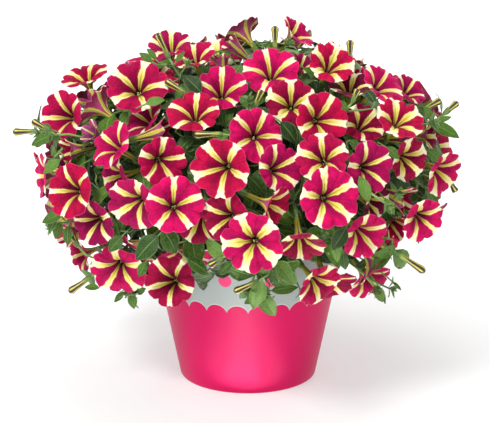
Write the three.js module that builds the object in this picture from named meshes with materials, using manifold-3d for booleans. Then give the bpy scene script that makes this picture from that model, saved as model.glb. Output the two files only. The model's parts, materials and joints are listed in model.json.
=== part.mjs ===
// A potted petunia in full flower: a dome of funnel-shaped blooms and leafy shoots that hides the rim
// of a round plastic pot. Millimetres, +Z up, origin at the middle of the underside of the pot.
import * as THREE from 'three';
import { mergeVertices } from 'three/addons/utils/BufferGeometryUtils.js';
import Module from 'manifold-3d';

const wasm = await Module();
wasm.setup();

// Pot and soil
const potBaseRadius = 71.7;
const potTopRadius = 105.7;
const potHeight = 165;
const potWall = 2.2;
const potFloor = 3;
const lipWidth = 2.5;
const lipHeight = 7;
const potSegments = 36;
const drainRadius = 4.5;
const drainCircle = 46;
const drainCount = 8;
const drainSides = 8;
const rimBevel = 1;
const soilBelowRim = 14;
const soilCrown = 3;
const plantingDepth = 18;
const soilTop = potHeight - soilBelowRim;
const socketSides = 8;
const socketLowRoom = 1.5;
const socketHighRoom = 6;
const socketRise = 10;
const potBeadRadius = 8;

// Gaps between pieces that touch, and the distance below which two points are one
const seatGap = 0.3;
const mergeDistance = 1e-4;

// The dome of the plant: an ellipsoid that the blooms lie on
const domeMiddle = new THREE.Vector3(0, 0, 230);
const domeReach = new THREE.Vector3(225, 225, 138);

// The front view that the blooms are placed in: its tilt, its distance, the point of the plant in
// its middle, the place of that middle in the view, and the real size of one step of the view there
const viewTilt = THREE.MathUtils.degToRad(16);
const viewDistance = 2300;
const viewAim = new THREE.Vector3(-3.2, 0, 177);
const viewMiddle = new THREE.Vector2(245, 211.5);
const viewStep = 1.05;

// How far the plant reaches in the front view from a place near its middle, every 15 degrees round
// from the right, upwards first
const outlineMiddle = new THREE.Vector2(245, 165);
const outlineReaches = [
  216, 214, 190, 163, 150, 150, 144, 136, 148, 158, 196, 213,
  215, 208, 201, 186, 160, 132, 126, 132, 158, 185, 204, 207
];

// Blooms
const corollaLength = 42;
const limbThickness = 1.2;
const notchRadius = 0.88;
const steepestFace = 0.97;
const layerDepth = 8;
const middleLayer = 2;
const pushStep = 3;
const fewPushes = 11;
const mostPushes = 22;
const bloomBeadShare = 0.14;
const tubeBeadRadius = 3.4;
const tubeBeadDepths = [0.45, 0.6, 0.72, 0.84, 0.94];
const ownNodeWidth = 42;
const hiddenBloomRadii = [24, 29];
const hiddenBloomCount = 142;
const hiddenBloomLowest = 130;
const hiddenBloomOffsets = [-4, -14, 6, -24, -34, -44];
const hiddenFromView = 0.34;
const hiddenBloomTilt = 0.9;
const hiddenOpenShare = 0.85;
const halfOpenRadiusShare = 0.6;

// Shoots, stalks, buds and leaves
const stemRadius = 3;
const stalkRadius = 1.3;
const calyxRadius = 2.9;
const calyxLength = 7;
const stalkSteps = 3;
const stalkBends = [0, 14, 28, 44, 60, 80];
const bendDirections = 8;
const nearShoots = 5;
const stalkSpacing = 0.045;
const jointReach = 16;
const startReach = 18;
const stalkSides = 3;
const calyxSides = 4;
const lowestStalk = 0.5;
const stemSteps = 6;
const stemSides = 6;
const stemBeadSpacing = 6;
const stalkBeadSpacing = 4;
const stalkBeadRoom = 0.9;
const budRadius = 3.4;
const leafLengths = [25, 38];
const leafWidthShare = 0.55;
const leafThickness = 1.4;
const leafRoot = 2;
const leafStalkReach = 12;
const leafTurns = 5;
const leafEvery = 3;
const leafBeadRadius = 2.6;
const leafLift = 0.7;
const tipPushes = [0, -6, 6, -12, 12, 20, 28];

// Beads of a leaf: share of its length, and of half its width
const leafBeadPlaces = [[0.25, 0], [0.45, -0.8], [0.45, 0], [0.45, 0.8], [0.72, -0.3], [0.72, 0.3], [1, 0]];

// Profiles of an open and of a half-open corolla, from its rim to its foot: distance from the axis
// as a share of the radius, and depth behind the rim as a share of the length
const profiles = {
  open: [[1, 0], [0.55, 0.09], [0.16, 0.42], [0.1, 1]],
  half: [[1, 0], [0.74, 0.18], [0.36, 0.5], [0.2, 1]]
};

// The blooms of the front. Each row: middle of the face in the view (across, down), width across,
// middle of the throat (across, down), turn of a pale stripe in degrees, layer from back to front,
// and form. The face looks from the throat to the middle of the face, towards the viewer, or away
// from the viewer in the forms that end in Away.
const frontBlooms = [
  [130, 72, 36, 133, 84, 10, -2, 'open'],
  [107, 80, 30, 115, 88, 0, -1, 'open'],
  [220, 54, 20, 222, 68, 0, 0, 'half'],
  [227, 41, 22, 233, 46, 0, 0, 'half'],
  [302, 62, 26, 300, 68, 0, 0, 'open'],
  [358, 69, 22, 358, 76, 0, 0, 'half'],
  [328, 44, 24, 328, 52, 0, 0, 'half'],
  [412, 88, 36, 405, 95, 0, 0, 'open'],
  [432, 136, 32, 422, 136, 0, 1, 'open'],
  [64, 236, 26, 70, 234, 0, 0, 'half'],
  [87, 130, 24, 92, 133, 0, 0, 'half'],
  [62, 152, 28, 70, 150.5, 0, 1, 'half'],
  [170, 130, 28, 158, 133, 0, 1, 'half'],
  [84, 73, 46, 89, 86, 1, 0, 'open'],
  [95, 103, 44, 107, 113, 0, 0, 'openAway'],
  [160, 75, 44, 152, 84, 65, -2, 'open'],
  [169, 43, 42, 171, 54, 13, 1, 'open'],
  [240, 29, 40, 248, 39.5, 0, 1, 'openAway'],
  [299, 31, 38, 290, 39, 20, 1, 'open'],
  [39, 176, 44, 54, 176, 36, 1, 'open'],
  [77, 256, 38, 88, 252, 0, 0, 'open'],
  [112, 178, 46, 125, 174, 65, 1, 'open'],
  [196, 228, 46, 200, 218, 29, 1, 'open'],
  [350, 83, 44, 350, 95, 0, 1, 'open'],
  [365, 122, 44, 360, 129, 50, 1, 'open'],
  [378, 204, 40, 367, 200, 0, 1, 'open'],
  [399, 231, 28, 395, 226, 0, -1, 'half'],
  [414, 133, 32, 403, 135, 0, 2, 'half'],
  [411, 202, 32, 401, 198, 0, 2, 'half'],
  [62, 116, 50, 72, 118, 36, 2, 'open'],
  [192, 54, 42, 196, 65, 16, 2, 'open'],
  [222, 88, 50, 222, 97, 18, 2, 'open'],
  [142, 117, 46, 152, 125, 60, 2, 'open'],
  [92, 224, 46, 99, 219, 33, 2, 'open'],
  [168, 282, 51, 175, 281, 54, 2, 'open'],
  [162, 162, 48, 158, 159, 12, 2, 'open'],
  [257, 134, 54, 254, 137, 69, 2, 'open'],
  [224, 219, 50, 232, 216, 9, 2, 'open'],
  [301, 249, 50, 299, 234, 54, 2, 'open'],
  [332, 63, 46, 328, 71, 0, 2, 'open'],
  [291, 101, 50, 291, 107, 18, 2, 'open'],
  [384, 83, 46, 375, 91, 70, 2, 'open'],
  [281, 168, 48, 272, 170, 34, 2, 'open'],
  [410, 161, 44, 402, 156, 22, 2, 'open'],
  [424, 221, 44, 418, 215, 28, 2, 'open'],
  [371, 283, 46, 363, 272, 18, 2, 'open'],
  [109, 143, 50, 120, 150, 56, 3, 'open'],
  [194, 110, 52, 195, 121, 12, 3, 'open'],
  [68, 190, 54, 79, 191, 36, 3, 'open'],
  [132, 205, 56, 142, 198, 2, 3, 'open'],
  [117, 272, 55, 120, 262, 24, 3, 'open'],
  [277, 208, 46, 264, 202, 22, 3, 'open'],
  [320, 286, 47, 312, 277, 54, 3, 'open'],
  [272, 68, 55, 271, 80, 33, 3, 'open'],
  [322, 119, 54, 316, 120, 63, 3, 'open'],
  [401, 117, 48, 396, 126, 31, 3, 'open'],
  [371, 168, 50, 362, 167, 28, 3, 'open'],
  [445, 174, 46, 434, 167, 15, 3, 'open'],
  [365, 237, 50, 357, 228, 14, 3, 'open'],
  [137, 85, 58, 138, 93, 2, 3, 'open'],
  [174, 204, 57, 173, 207, 18, 4, 'open'],
  [221, 168, 58, 228, 166, 53, 4, 'open'],
  [322, 156, 52, 325, 161, 21, 4, 'open'],
  [250, 243, 60, 255, 241, 40, 5, 'open'],
  [330, 197, 60, 324, 198, 30, 5, 'open']
];

// Buds and leafy tips of the front: root in the view, tip in the view, and kind
const frontTips = [
  [169, 58, 157, 33, 'bud'],
  [37, 131, 13, 132, 'bud'],
  [91, 277, 69, 292, 'bud'],
  [78, 246, 72, 236, 'bud'],
  [222, 134, 194, 135, 'bud'],
  [187, 94, 165, 81, 'bud'],
  [254, 108, 262, 90, 'bud'],
  [50, 131, 32, 121, 'bud'],
  [222, 258, 209, 266, 'bud'],
  [258, 281, 234, 292, 'bud'],
  [275, 50, 275, 26, 'bud'],
  [350, 62, 350, 40, 'bud'],
  [352, 103, 358, 89, 'bud'],
  [423, 110, 441, 100, 'bud'],
  [444, 114, 458, 102, 'bud'],
  [450, 182, 456, 192, 'bud'],
  [397, 253, 425, 272, 'bud'],
  [430, 122, 464, 134, 'leaf'],
  [55, 135, 27, 140, 'leaf'],
  [54, 158, 46, 175, 'leaf'],
  [60, 212, 44, 232, 'leaf'],
  [132, 290, 133, 310, 'leaf'],
  [262, 292, 274, 321, 'leaf'],
  [250, 286, 241, 302, 'leaf'],
  [280, 270, 298, 290, 'leaf'],
  [374, 286, 387, 303, 'leaf'],
  [392, 250, 368, 268, 'leaf'],
  [362, 178, 370, 204, 'leaf'],
  [385, 203, 396, 214, 'leaf']
];

// Where each shoot divides: height, distance from the middle, count in the ring, turn of the ring,
// and how far from the middle its stem leaves the soil
const shootRings = [
  { height: 274, distance: 0, count: 1, turn: 0, root: 0 },
  { height: 264, distance: 98, count: 4, turn: 45, root: 24 },
  { height: 205, distance: 142, count: 7, turn: -90, root: 52 }
];

const goldenAngle = Math.PI * (3 - Math.sqrt(5));
const zUp = new THREE.Vector3(0, 0, 1);

// A repeatable number between 0 and 1 for the nth use
function scatter(n) {
  const wave = Math.sin(n * 12.9898) * 43758.5453;
  return wave - Math.floor(wave);
}

function scatterBetween(range, n) {
  return range[0] + (range[1] - range[0]) * scatter(n);
}

// The three directions of the front view
const viewRight = new THREE.Vector3(1, 0, 0);
const viewUp = new THREE.Vector3(0, Math.sin(viewTilt), Math.cos(viewTilt));
const viewNearer = new THREE.Vector3(0, -Math.cos(viewTilt), Math.sin(viewTilt));
const viewEye = viewAim.clone().addScaledVector(viewNearer, viewDistance);

// The direction from the eye to a place in the view, one unit deep
function sightTo(across, down) {
  return viewNearer.clone().negate()
    .addScaledVector(viewRight, (across - viewMiddle.x) * viewStep / viewDistance)
    .addScaledVector(viewUp, (viewMiddle.y - down) * viewStep / viewDistance);
}

// The depth from the eye at which a sight line meets the dome, or passes nearest to it
function depthOnDome(sight) {
  const from = viewEye.clone().sub(domeMiddle).divide(domeReach);
  const along = sight.clone().divide(domeReach);
  const a = along.dot(along);
  const b = from.dot(along);
  const c = from.dot(from) - 1;
  return (-b - Math.sqrt(Math.max(0, b * b - a * c))) / a;
}

function placeInView(across, down, nearer) {
  const sight = sightTo(across, down);
  return viewEye.clone().addScaledVector(sight, depthOnDome(sight) - nearer);
}

// Whether a point lies inside the plant's outline in the front view
function insideOutline(point) {
  const sight = point.clone().sub(viewEye);
  const scale = -viewDistance / sight.dot(viewNearer) / viewStep;
  const across = viewMiddle.x + sight.dot(viewRight) * scale - outlineMiddle.x;
  const up = outlineMiddle.y - viewMiddle.y + sight.dot(viewUp) * scale;
  const turns = Math.atan2(up, across) / (2 * Math.PI) + 1;
  const place = turns * outlineReaches.length;
  const before = Math.floor(place);
  const from = outlineReaches[before % outlineReaches.length];
  const to = outlineReaches[(before + 1) % outlineReaches.length];
  return Math.hypot(across, up) < from + (to - from) * (place - before);
}

// Round beads that stand for a piece while the pieces are given room; each knows its owner and group
const beads = [];

function addBeads(places, owner, group) {
  for (const place of places) {
    beads.push({ at: place.at, radius: place.radius, owner, group });
  }
}

function hasRoom(places, ignore = () => false) {
  return places.every((place) => beads.every((bead) => {
    const reach = place.radius + bead.radius;
    return place.at.distanceToSquared(bead.at) > reach * reach || ignore(bead);
  }));
}

// The frame of a bloom: its axis looks out of its face, and its first stripe runs along side
function bloomFrame(face, stripeTurn) {
  const across = viewRight.clone().addScaledVector(face, -viewRight.dot(face));
  if (across.length() < 0.2) {
    across.copy(zUp).addScaledVector(face, -zUp.dot(face));
  }
  across.normalize();
  const upward = new THREE.Vector3().crossVectors(face, across);
  const side = across.clone().multiplyScalar(Math.cos(stripeTurn));
  side.addScaledVector(upward, Math.sin(stripeTurn));
  return { face, side, rise: new THREE.Vector3().crossVectors(face, side) };
}

function bloomBeads(bloom) {
  const places = [];
  const { face, side, rise } = bloom.frame;
  const ring = (share, depth, count, radius) => {
    for (let i = 0; i < count; i += 1) {
      const angle = 2 * Math.PI * i / count;
      const at = bloom.middle.clone().addScaledVector(face, -depth * corollaLength);
      at.addScaledVector(side, Math.cos(angle) * share * bloom.radius);
      at.addScaledVector(rise, Math.sin(angle) * share * bloom.radius);
      places.push({ at, radius });
    }
  };
  const bead = bloom.radius * bloomBeadShare;
  const profile = profiles[bloom.form];
  ring(0.92, 0.015, 20, bead);
  ring(0.7, (profile[0][1] + profile[1][1]) * 0.62, 14, bead);
  ring(profile[1][0] * 0.85, profile[1][1] * 1.3, 9, bead);
  ring((profile[1][0] + profile[2][0]) / 2, (profile[1][1] + profile[2][1]) / 2, 6, bead);
  ring(profile[2][0] * 0.6, profile[2][1] * 0.85, 4, bead);
  for (const depth of tubeBeadDepths) {
    ring(0, depth, 1, tubeBeadRadius);
  }
  return places;
}

function bloomFoot(bloom) {
  return bloom.middle.clone().addScaledVector(bloom.frame.face, -corollaLength);
}

// Room for the wall of the pot and for the top of the soil
function potRadiusAt(height) {
  return potBaseRadius + (potTopRadius - potBaseRadius) * height / potHeight;
}

function addRingBeads(distance, height) {
  const count = Math.max(1, Math.ceil(2 * Math.PI * distance / potBeadRadius));
  for (let i = 0; i < count; i += 1) {
    const angle = 2 * Math.PI * i / count;
    const at = new THREE.Vector3(Math.cos(angle) * distance, Math.sin(angle) * distance, height);
    addBeads([{ at, radius: potBeadRadius }], null, null);
  }
}

for (let height = potHeight - potBeadRadius; height > potHeight / 2; height -= potBeadRadius) {
  addRingBeads(potRadiusAt(height) - potBeadRadius / 2, height);
}
for (let distance = 0; distance < potTopRadius; distance += potBeadRadius) {
  addRingBeads(distance, potHeight - soilBelowRim + soilCrown - potBeadRadius);
}

// The blooms of the front, from the back layer to the front one, each moved nearer until it has room
const blooms = [];

function keepBloom(bloom) {
  blooms.push(bloom);
  addBeads(bloomBeads(bloom), bloom, null);
}

// Steps towards the viewer, or deeper where a few steps towards the viewer find no room
const pushes = [];
for (let step = 0; step < fewPushes; step += 1) {
  pushes.push(step);
}
for (let step = 1; step < fewPushes; step += 1) {
  pushes.push(-step);
}
for (let step = fewPushes; step < mostPushes; step += 1) {
  pushes.push(step);
}

const rowsByLayer = [...frontBlooms].sort((one, other) => one[6] - other[6]);
for (const [x, y, across, throatX, throatY, stripe, layer, form] of rowsByLayer) {
  const away = form.endsWith('Away');
  const lean = new THREE.Vector2(x - throatX, throatY - y).divideScalar(0.35 * across);
  lean.clampLength(0, steepestFace);
  const outward = Math.sqrt(1 - lean.lengthSq()) * (away ? -1 : 1);
  const face = viewRight.clone().multiplyScalar(lean.x);
  face.addScaledVector(viewUp, lean.y).addScaledVector(viewNearer, outward);
  const start = placeInView(x, y, 0);
  const bloom = {
    form: form.replace('Away', ''),
    frame: bloomFrame(face, THREE.MathUtils.degToRad(away ? -stripe : stripe)),
    radius: across / 2 * viewStep * viewEye.distanceTo(start) / viewDistance,
    own: across >= ownNodeWidth
  };
  for (const push of pushes) {
    bloom.middle = placeInView(x, y, (layer - middleLayer) * layerDepth + push * pushStep);
    if (hasRoom(bloomBeads(bloom))) {
      break;
    }
  }
  keepBloom(bloom);
}

// The blooms that the front view hides, spread evenly over the rest of the dome
for (let i = 0; i < hiddenBloomCount; i += 1) {
  const height = 1 - (2 * i + 1) / hiddenBloomCount;
  const circle = Math.sqrt(1 - height * height);
  const turn = i * goldenAngle;
  const spot = new THREE.Vector3(Math.cos(turn) * circle, Math.sin(turn) * circle, height);
  const face = spot.clone().divide(domeReach).normalize();
  const onDome = spot.multiply(domeReach).add(domeMiddle);
  if (face.dot(viewNearer) > hiddenFromView || onDome.z < hiddenBloomLowest) {
    continue;
  }
  const tilt = new THREE.Vector3(scatter(i + 0.1), scatter(i + 0.2), scatter(i + 0.3)).subScalar(0.5);
  face.addScaledVector(tilt, hiddenBloomTilt).normalize();
  const bloom = {
    form: scatter(i + 0.4) < hiddenOpenShare ? 'open' : 'half',
    frame: bloomFrame(face, scatter(i + 0.5) * 2 * Math.PI),
    radius: scatterBetween(hiddenBloomRadii, i + 0.6),
    own: false
  };
  bloom.radius *= bloom.form === 'open' ? 1 : halfOpenRadiusShare;
  for (const offset of hiddenBloomOffsets) {
    bloom.middle = onDome.clone().addScaledVector(face, offset);
    const places = bloomBeads(bloom);
    if (places.every((place) => insideOutline(place.at)) && hasRoom(places)) {
      keepBloom(bloom);
      break;
    }
  }
}

// The shoots: a stem from the soil to the point where it divides
const shoots = [];
for (const ring of shootRings) {
  for (let i = 0; i < ring.count; i += 1) {
    const turn = THREE.MathUtils.degToRad(ring.turn) + 2 * Math.PI * i / ring.count;
    const outward = new THREE.Vector3(Math.cos(turn), Math.sin(turn), 0);
    const root = outward.clone().multiplyScalar(ring.root).setZ(soilTop - plantingDepth);
    const fork = outward.clone().multiplyScalar(ring.distance).setZ(ring.height);
    const lift = outward.clone().multiplyScalar(ring.root).setZ(soilTop + (ring.height - soilTop) * 0.5);
    const bend = outward.clone().multiplyScalar((ring.root + ring.distance) / 2).setZ(ring.height - 4);
    const stem = new THREE.CubicBezierCurve3(root, lift, bend, fork);
    shoots.push({ fork, stem, stalks: [], pieces: [] });
  }
}

// Beads along the straight steps that a curve is made in
function curveBeads(curve, steps, spacing, radius) {
  const joints = curve.getSpacedPoints(steps);
  const places = [];
  for (let i = 0; i < steps; i += 1) {
    const count = Math.ceil(joints[i].distanceTo(joints[i + 1]) / spacing);
    for (let k = 0; k < count; k += 1) {
      places.push({ at: joints[i].clone().lerp(joints[i + 1], k / count), radius });
    }
  }
  return places;
}

for (const shoot of shoots) {
  addBeads(curveBeads(shoot.stem, stemSteps, stemBeadSpacing, stemRadius + stalkBeadRoom), shoot, shoot);
}

function shootsNear(point) {
  const byDistance = [...shoots];
  byDistance.sort((one, other) => one.fork.distanceTo(point) - other.fork.distanceTo(point));
  return byDistance.slice(0, nearShoots);
}

// A direction square to another one
function acrossFrom(direction) {
  const helper = Math.abs(direction.z) < Math.SQRT1_2 ? zUp : viewRight;
  return new THREE.Vector3().crossVectors(direction, helper).normalize();
}

// A stalk from the place where something grows back to a joint on the stem of a shoot. It leaves
// along heading, and bends aside where the straight way has no room.
function stalkTo(shoot, start, heading, owner) {
  const joint = shoot.stem.getPointAt(Math.max(lowestStalk, 1 - stalkSpacing * shoot.stalks.length));
  const span = joint.distanceTo(start);
  const straight = joint.clone().sub(start).normalize();
  const sideways = acrossFrom(straight);
  for (const bend of stalkBends) {
    for (let k = 0; k < (bend ? bendDirections : 1); k += 1) {
      const aside = sideways.clone().applyAxisAngle(straight, 2 * Math.PI * k / bendDirections);
      aside.multiplyScalar(bend);
      const curve = new THREE.CubicBezierCurve3(
        start,
        start.clone().addScaledVector(heading, span * 0.3),
        joint.clone().addScaledVector(straight, -span * 0.4).addScaledVector(aside, 1.5),
        joint
      );
      const places = curveBeads(curve, stalkSteps, stalkBeadSpacing, stalkRadius + stalkBeadRoom);
      const atJoint = (bead) => bead.group === shoot && bead.at.distanceTo(joint) < jointReach;
      const atStart = (bead) => bead.owner === owner && bead.at.distanceTo(start) < startReach;
      if (hasRoom(places, (bead) => atJoint(bead) || atStart(bead))) {
        addBeads(places, owner, shoot);
        shoot.stalks.push(curve);
        return { shoot, curve };
      }
    }
  }
  return null;
}

function growStalk(start, heading, owner) {
  for (const shoot of shootsNear(start)) {
    const stalk = stalkTo(shoot, start, heading, owner);
    if (stalk) {
      return stalk;
    }
  }
  return null;
}

// A ring of points round an axis: count points, radius for each by its number
function ringPoints(count, radiusOf, z) {
  const points = [];
  for (let i = 0; i < count; i += 1) {
    const angle = 2 * Math.PI * i / count;
    points.push(new THREE.Vector3(Math.cos(angle) * radiusOf(i), Math.sin(angle) * radiusOf(i), z));
  }
  return points;
}

function skin(points, triangles) {
  const geometry = new THREE.BufferGeometry();
  geometry.setFromPoints(points);
  geometry.setIndex(triangles.flat());
  geometry.computeVertexNormals();
  return geometry;
}

// Joins ring a to ring b, which lies behind it; a has as many points as b, or twice as many
function joinRings(triangles, a, countA, b, countB) {
  for (let i = 0; i < countB; i += 1) {
    const next = (i + 1) % countB;
    if (countA === countB) {
      triangles.push([a + i, b + i, b + next], [a + i, b + next, a + next]);
    } else {
      const wide = a + (2 * i + 2) % countA;
      triangles.push([a + 2 * i, b + i, a + 2 * i + 1], [a + 2 * i + 1, b + i, b + next]);
      triangles.push([a + 2 * i + 1, b + next, wide]);
    }
  }
}

// Joins a rim of ten points and rings of five behind it, first to last, and closes the last one
function joinFunnel(first, starts) {
  const triangles = [];
  joinRings(triangles, first, 10, starts[0], 5);
  for (let i = 1; i < starts.length; i += 1) {
    joinRings(triangles, starts[i - 1], 5, starts[i], 5);
  }
  const last = starts[starts.length - 1];
  triangles.push([last, last + 2, last + 1], [last, last + 3, last + 2], [last, last + 4, last + 3]);
  return triangles;
}

// A five-lobed corolla with its rim in the plane z = 0, its face along +Z and its foot behind. The
// rim is a sharp edge between its outer skin and its inner one. A straight one has no belly.
function corollaGeometry(radius, form, straight = false) {
  const sized = ([share, depth]) => [share * radius, -depth * corollaLength];
  const [rim, belly, throat, foot] = profiles[form].map(sized);
  const thin = limbThickness;
  const rings = [
    ringPoints(10, (i) => rim[0] * (i % 2 ? notchRadius : 1), rim[1]),
    ringPoints(5, () => throat[0], throat[1]),
    ringPoints(5, () => throat[0] + thin, throat[1]),
    ringPoints(5, () => foot[0] + thin / 2, foot[1]),
    ringPoints(5, () => belly[0], belly[1]),
    ringPoints(5, () => belly[0], belly[1] - thin)
  ];
  const outside = joinFunnel(0, straight ? [15, 20] : [30, 15, 20]);
  const inside = joinFunnel(0, straight ? [10] : [25, 10]).map(([a, b, c]) => [a, c, b]);
  return skin(rings.slice(0, straight ? 4 : 6).flat(), [...outside, ...inside]);
}

// A spindle for a bud, along +Z
function budGeometry(length) {
  const points = [
    ...ringPoints(5, () => budRadius * 0.55, 0),
    ...ringPoints(5, () => budRadius, length * 0.75),
    new THREE.Vector3(0, 0, length)
  ];
  const triangles = [];
  joinRings(triangles, 5, 5, 0, 5);
  triangles.push([0, 2, 1], [0, 3, 2], [0, 4, 3]);
  for (let i = 0; i < 5; i += 1) {
    triangles.push([10, 5 + i, 5 + (i + 1) % 5]);
  }
  return skin(points, triangles);
}

// A pointed leaf along +X, folded a little along its midrib, its upper face towards +Z
function leafGeometry(length) {
  const half = length * leafWidthShare / 2;
  const wide = length * 0.42;
  const points = [
    new THREE.Vector3(-leafRoot, 0, 0),
    new THREE.Vector3(length, 0, -length * 0.12),
    new THREE.Vector3(wide, half, half * 0.3),
    new THREE.Vector3(wide, -half, half * 0.3),
    new THREE.Vector3(wide, 0, leafThickness / 2),
    new THREE.Vector3(wide, 0, -leafThickness / 2)
  ];
  const triangles = [
    [0, 4, 2], [4, 1, 2], [0, 3, 4], [4, 3, 1],
    [0, 2, 5], [5, 2, 1], [0, 5, 3], [5, 1, 3]
  ];
  return skin(points, triangles);
}

function tubeGeometry(curve, radius, sides, steps) {
  const section = new THREE.Shape();
  for (let i = 0; i < sides; i += 1) {
    const angle = 2 * Math.PI * i / sides;
    section[i ? 'lineTo' : 'moveTo'](Math.cos(angle) * radius, Math.sin(angle) * radius);
  }
  section.closePath();
  return new THREE.ExtrudeGeometry(section, { steps, extrudePath: curve, bevelEnabled: false });
}

// A stalk that widens at its start into the cup of a calyx, whose mouth looks along face
function calyxStalkGeometry(curve, face) {
  const frames = curve.computeFrenetFrames(stalkSteps);
  const points = [];
  const ring = (middle, first, second, radius) => {
    for (const { x, y } of ringPoints(calyxSides, () => radius, 0)) {
      points.push(middle.clone().addScaledVector(first, x).addScaledVector(second, -y));
    }
  };
  const across = frames.normals[0].clone().addScaledVector(face, -face.dot(frames.normals[0])).normalize();
  const mouth = curve.getPointAt(0).addScaledVector(face, calyxLength);
  ring(mouth, across, new THREE.Vector3().crossVectors(across, face), calyxRadius);
  for (let k = 0; k <= stalkSteps; k += 1) {
    ring(curve.getPointAt(k / stalkSteps), frames.normals[k], frames.binormals[k], stalkRadius);
  }
  const triangles = [];
  for (let k = 0; k <= stalkSteps; k += 1) {
    joinRings(triangles, k * calyxSides, calyxSides, (k + 1) * calyxSides, calyxSides);
  }
  const last = (stalkSteps + 1) * calyxSides;
  triangles.push([0, 1, 2], [0, 2, 3], [last, last + 2, last + 1], [last, last + 3, last + 2]);
  return skin(points, triangles);
}

function solidOf(geometry, matrix) {
  const bare = geometry.clone();
  bare.deleteAttribute('normal');
  bare.deleteAttribute('uv');
  bare.applyMatrix4(matrix ?? new THREE.Matrix4());
  const merged = mergeVertices(bare, mergeDistance);
  return new wasm.Manifold(new wasm.Mesh({
    numProp: 3,
    vertProperties: merged.attributes.position.array,
    triVerts: new Uint32Array(merged.index.array)
  }));
}

function geometryOf(solid) {
  const mesh = solid.getMesh();
  const geometry = new THREE.BufferGeometry();
  geometry.setAttribute('position', new THREE.BufferAttribute(mesh.vertProperties, 3));
  geometry.setIndex(new THREE.BufferAttribute(mesh.triVerts, 1));
  geometry.computeVertexNormals();
  return geometry;
}

// The largest body of a solid, with any sealed hollow in it filled
function wholeBody(solid) {
  const bodies = solid.decompose();
  bodies.sort((one, other) => other.volume() - one.volume());
  return bodies[0];
}

// The matrix that turns local X, Y and Z to the given directions and moves the origin to a point
function placed(at, x, y, z) {
  return new THREE.Matrix4().makeBasis(x, y, z).setPosition(at);
}

// The same from local Z alone
function placedAlong(at, z) {
  const x = acrossFrom(z);
  return placed(at, x, new THREE.Vector3().crossVectors(z, x), z);
}

// Stalks, and the blooms that are part of their shoot
for (const bloom of blooms) {
  const { face, side, rise } = bloom.frame;
  const foot = bloomFoot(bloom);
  const root = foot.addScaledVector(face, bloom.own ? -seatGap - calyxLength : limbThickness);
  const stalk = growStalk(root, face.clone().negate(), bloom);
  bloom.kept = stalk !== null;
  if (stalk && bloom.own) {
    stalk.shoot.pieces.push(solidOf(calyxStalkGeometry(stalk.curve, face)));
  } else if (stalk) {
    const corolla = corollaGeometry(bloom.radius, bloom.form, true);
    stalk.shoot.pieces.push(solidOf(corolla, placed(bloom.middle, side, rise, face)));
    stalk.shoot.pieces.push(solidOf(tubeGeometry(stalk.curve, stalkRadius, stalkSides, stalkSteps)));
  }
}

function leafBeads(at, along, across, length) {
  const half = length * leafWidthShare / 2;
  const places = [];
  for (const [share, aside] of leafBeadPlaces) {
    const spot = at.clone().addScaledVector(along, share * length).addScaledVector(across, aside * half);
    places.push({ at: spot, radius: leafBeadRadius });
  }
  return places;
}

function tryLeaf(at, along, length, shoot) {
  const outward = at.clone().sub(domeMiddle).normalize();
  const across = new THREE.Vector3().crossVectors(outward, along).normalize();
  const upper = new THREE.Vector3().crossVectors(along, across);
  const places = leafBeads(at, along, across, length);
  if (!hasRoom(places, (bead) => bead.group === shoot && at.distanceTo(bead.at) < leafStalkReach)) {
    return false;
  }
  addBeads(places, null, shoot);
  shoot.pieces.push(solidOf(leafGeometry(length), placed(at, along, across, upper)));
  return true;
}

// Buds and leafy tips of the front
function growTip(root, tipX, tipY, kind) {
  const sight = sightTo(tipX, tipY);
  const depth = root.clone().sub(viewEye).dot(viewNearer) / sight.dot(viewNearer);
  const tip = viewEye.clone().addScaledVector(sight, depth);
  const heading = tip.clone().sub(root);
  const length = heading.length();
  heading.normalize();
  const stalk = growStalk(root, heading.clone().negate(), root);
  if (!stalk) {
    return false;
  }
  stalk.shoot.pieces.push(solidOf(tubeGeometry(stalk.curve, stalkRadius, stalkSides, stalkSteps)));
  if (kind === 'bud') {
    stalk.shoot.pieces.push(solidOf(budGeometry(length), placedAlong(root, heading)));
    addBeads([0.2, 0.5, 0.8].map((share) => (
      { at: root.clone().addScaledVector(heading, share * length), radius: budRadius }
    )), root, stalk.shoot);
  } else {
    tryLeaf(root, heading, length, stalk.shoot);
  }
  return true;
}

for (const [rootX, rootY, tipX, tipY, kind] of frontTips) {
  tipPushes.some((push) => growTip(placeInView(rootX, rootY, push), tipX, tipY, kind));
}

// Leaves along the stalks
for (const shoot of shoots) {
  shoot.stalks.forEach((curve, number) => {
    if (number % leafEvery) {
      return;
    }
    const share = 1 / stalkSteps;
    const seed = number * 7.3 + shoot.fork.x;
    const at = curve.getPointAt(share);
    const outward = at.clone().sub(domeMiddle).normalize();
    for (let turn = 0; turn < leafTurns; turn += 1) {
      const twist = (scatter(seed) + turn / leafTurns) * 2 * Math.PI;
      const along = curve.getTangentAt(share).negate().applyAxisAngle(outward, twist);
      along.addScaledVector(outward, leafLift).normalize();
      if (tryLeaf(at, along, scatterBetween(leafLengths, seed + 1), shoot)) {
        break;
      }
    }
  });
}

// A profile of distances from the axis and heights, turned round the axis
function turned(profile) {
  const outline = profile.map(([distance, height]) => new THREE.Vector2(distance, height));
  return solidOf(new THREE.LatheGeometry(outline, potSegments).rotateX(Math.PI / 2));
}

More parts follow.
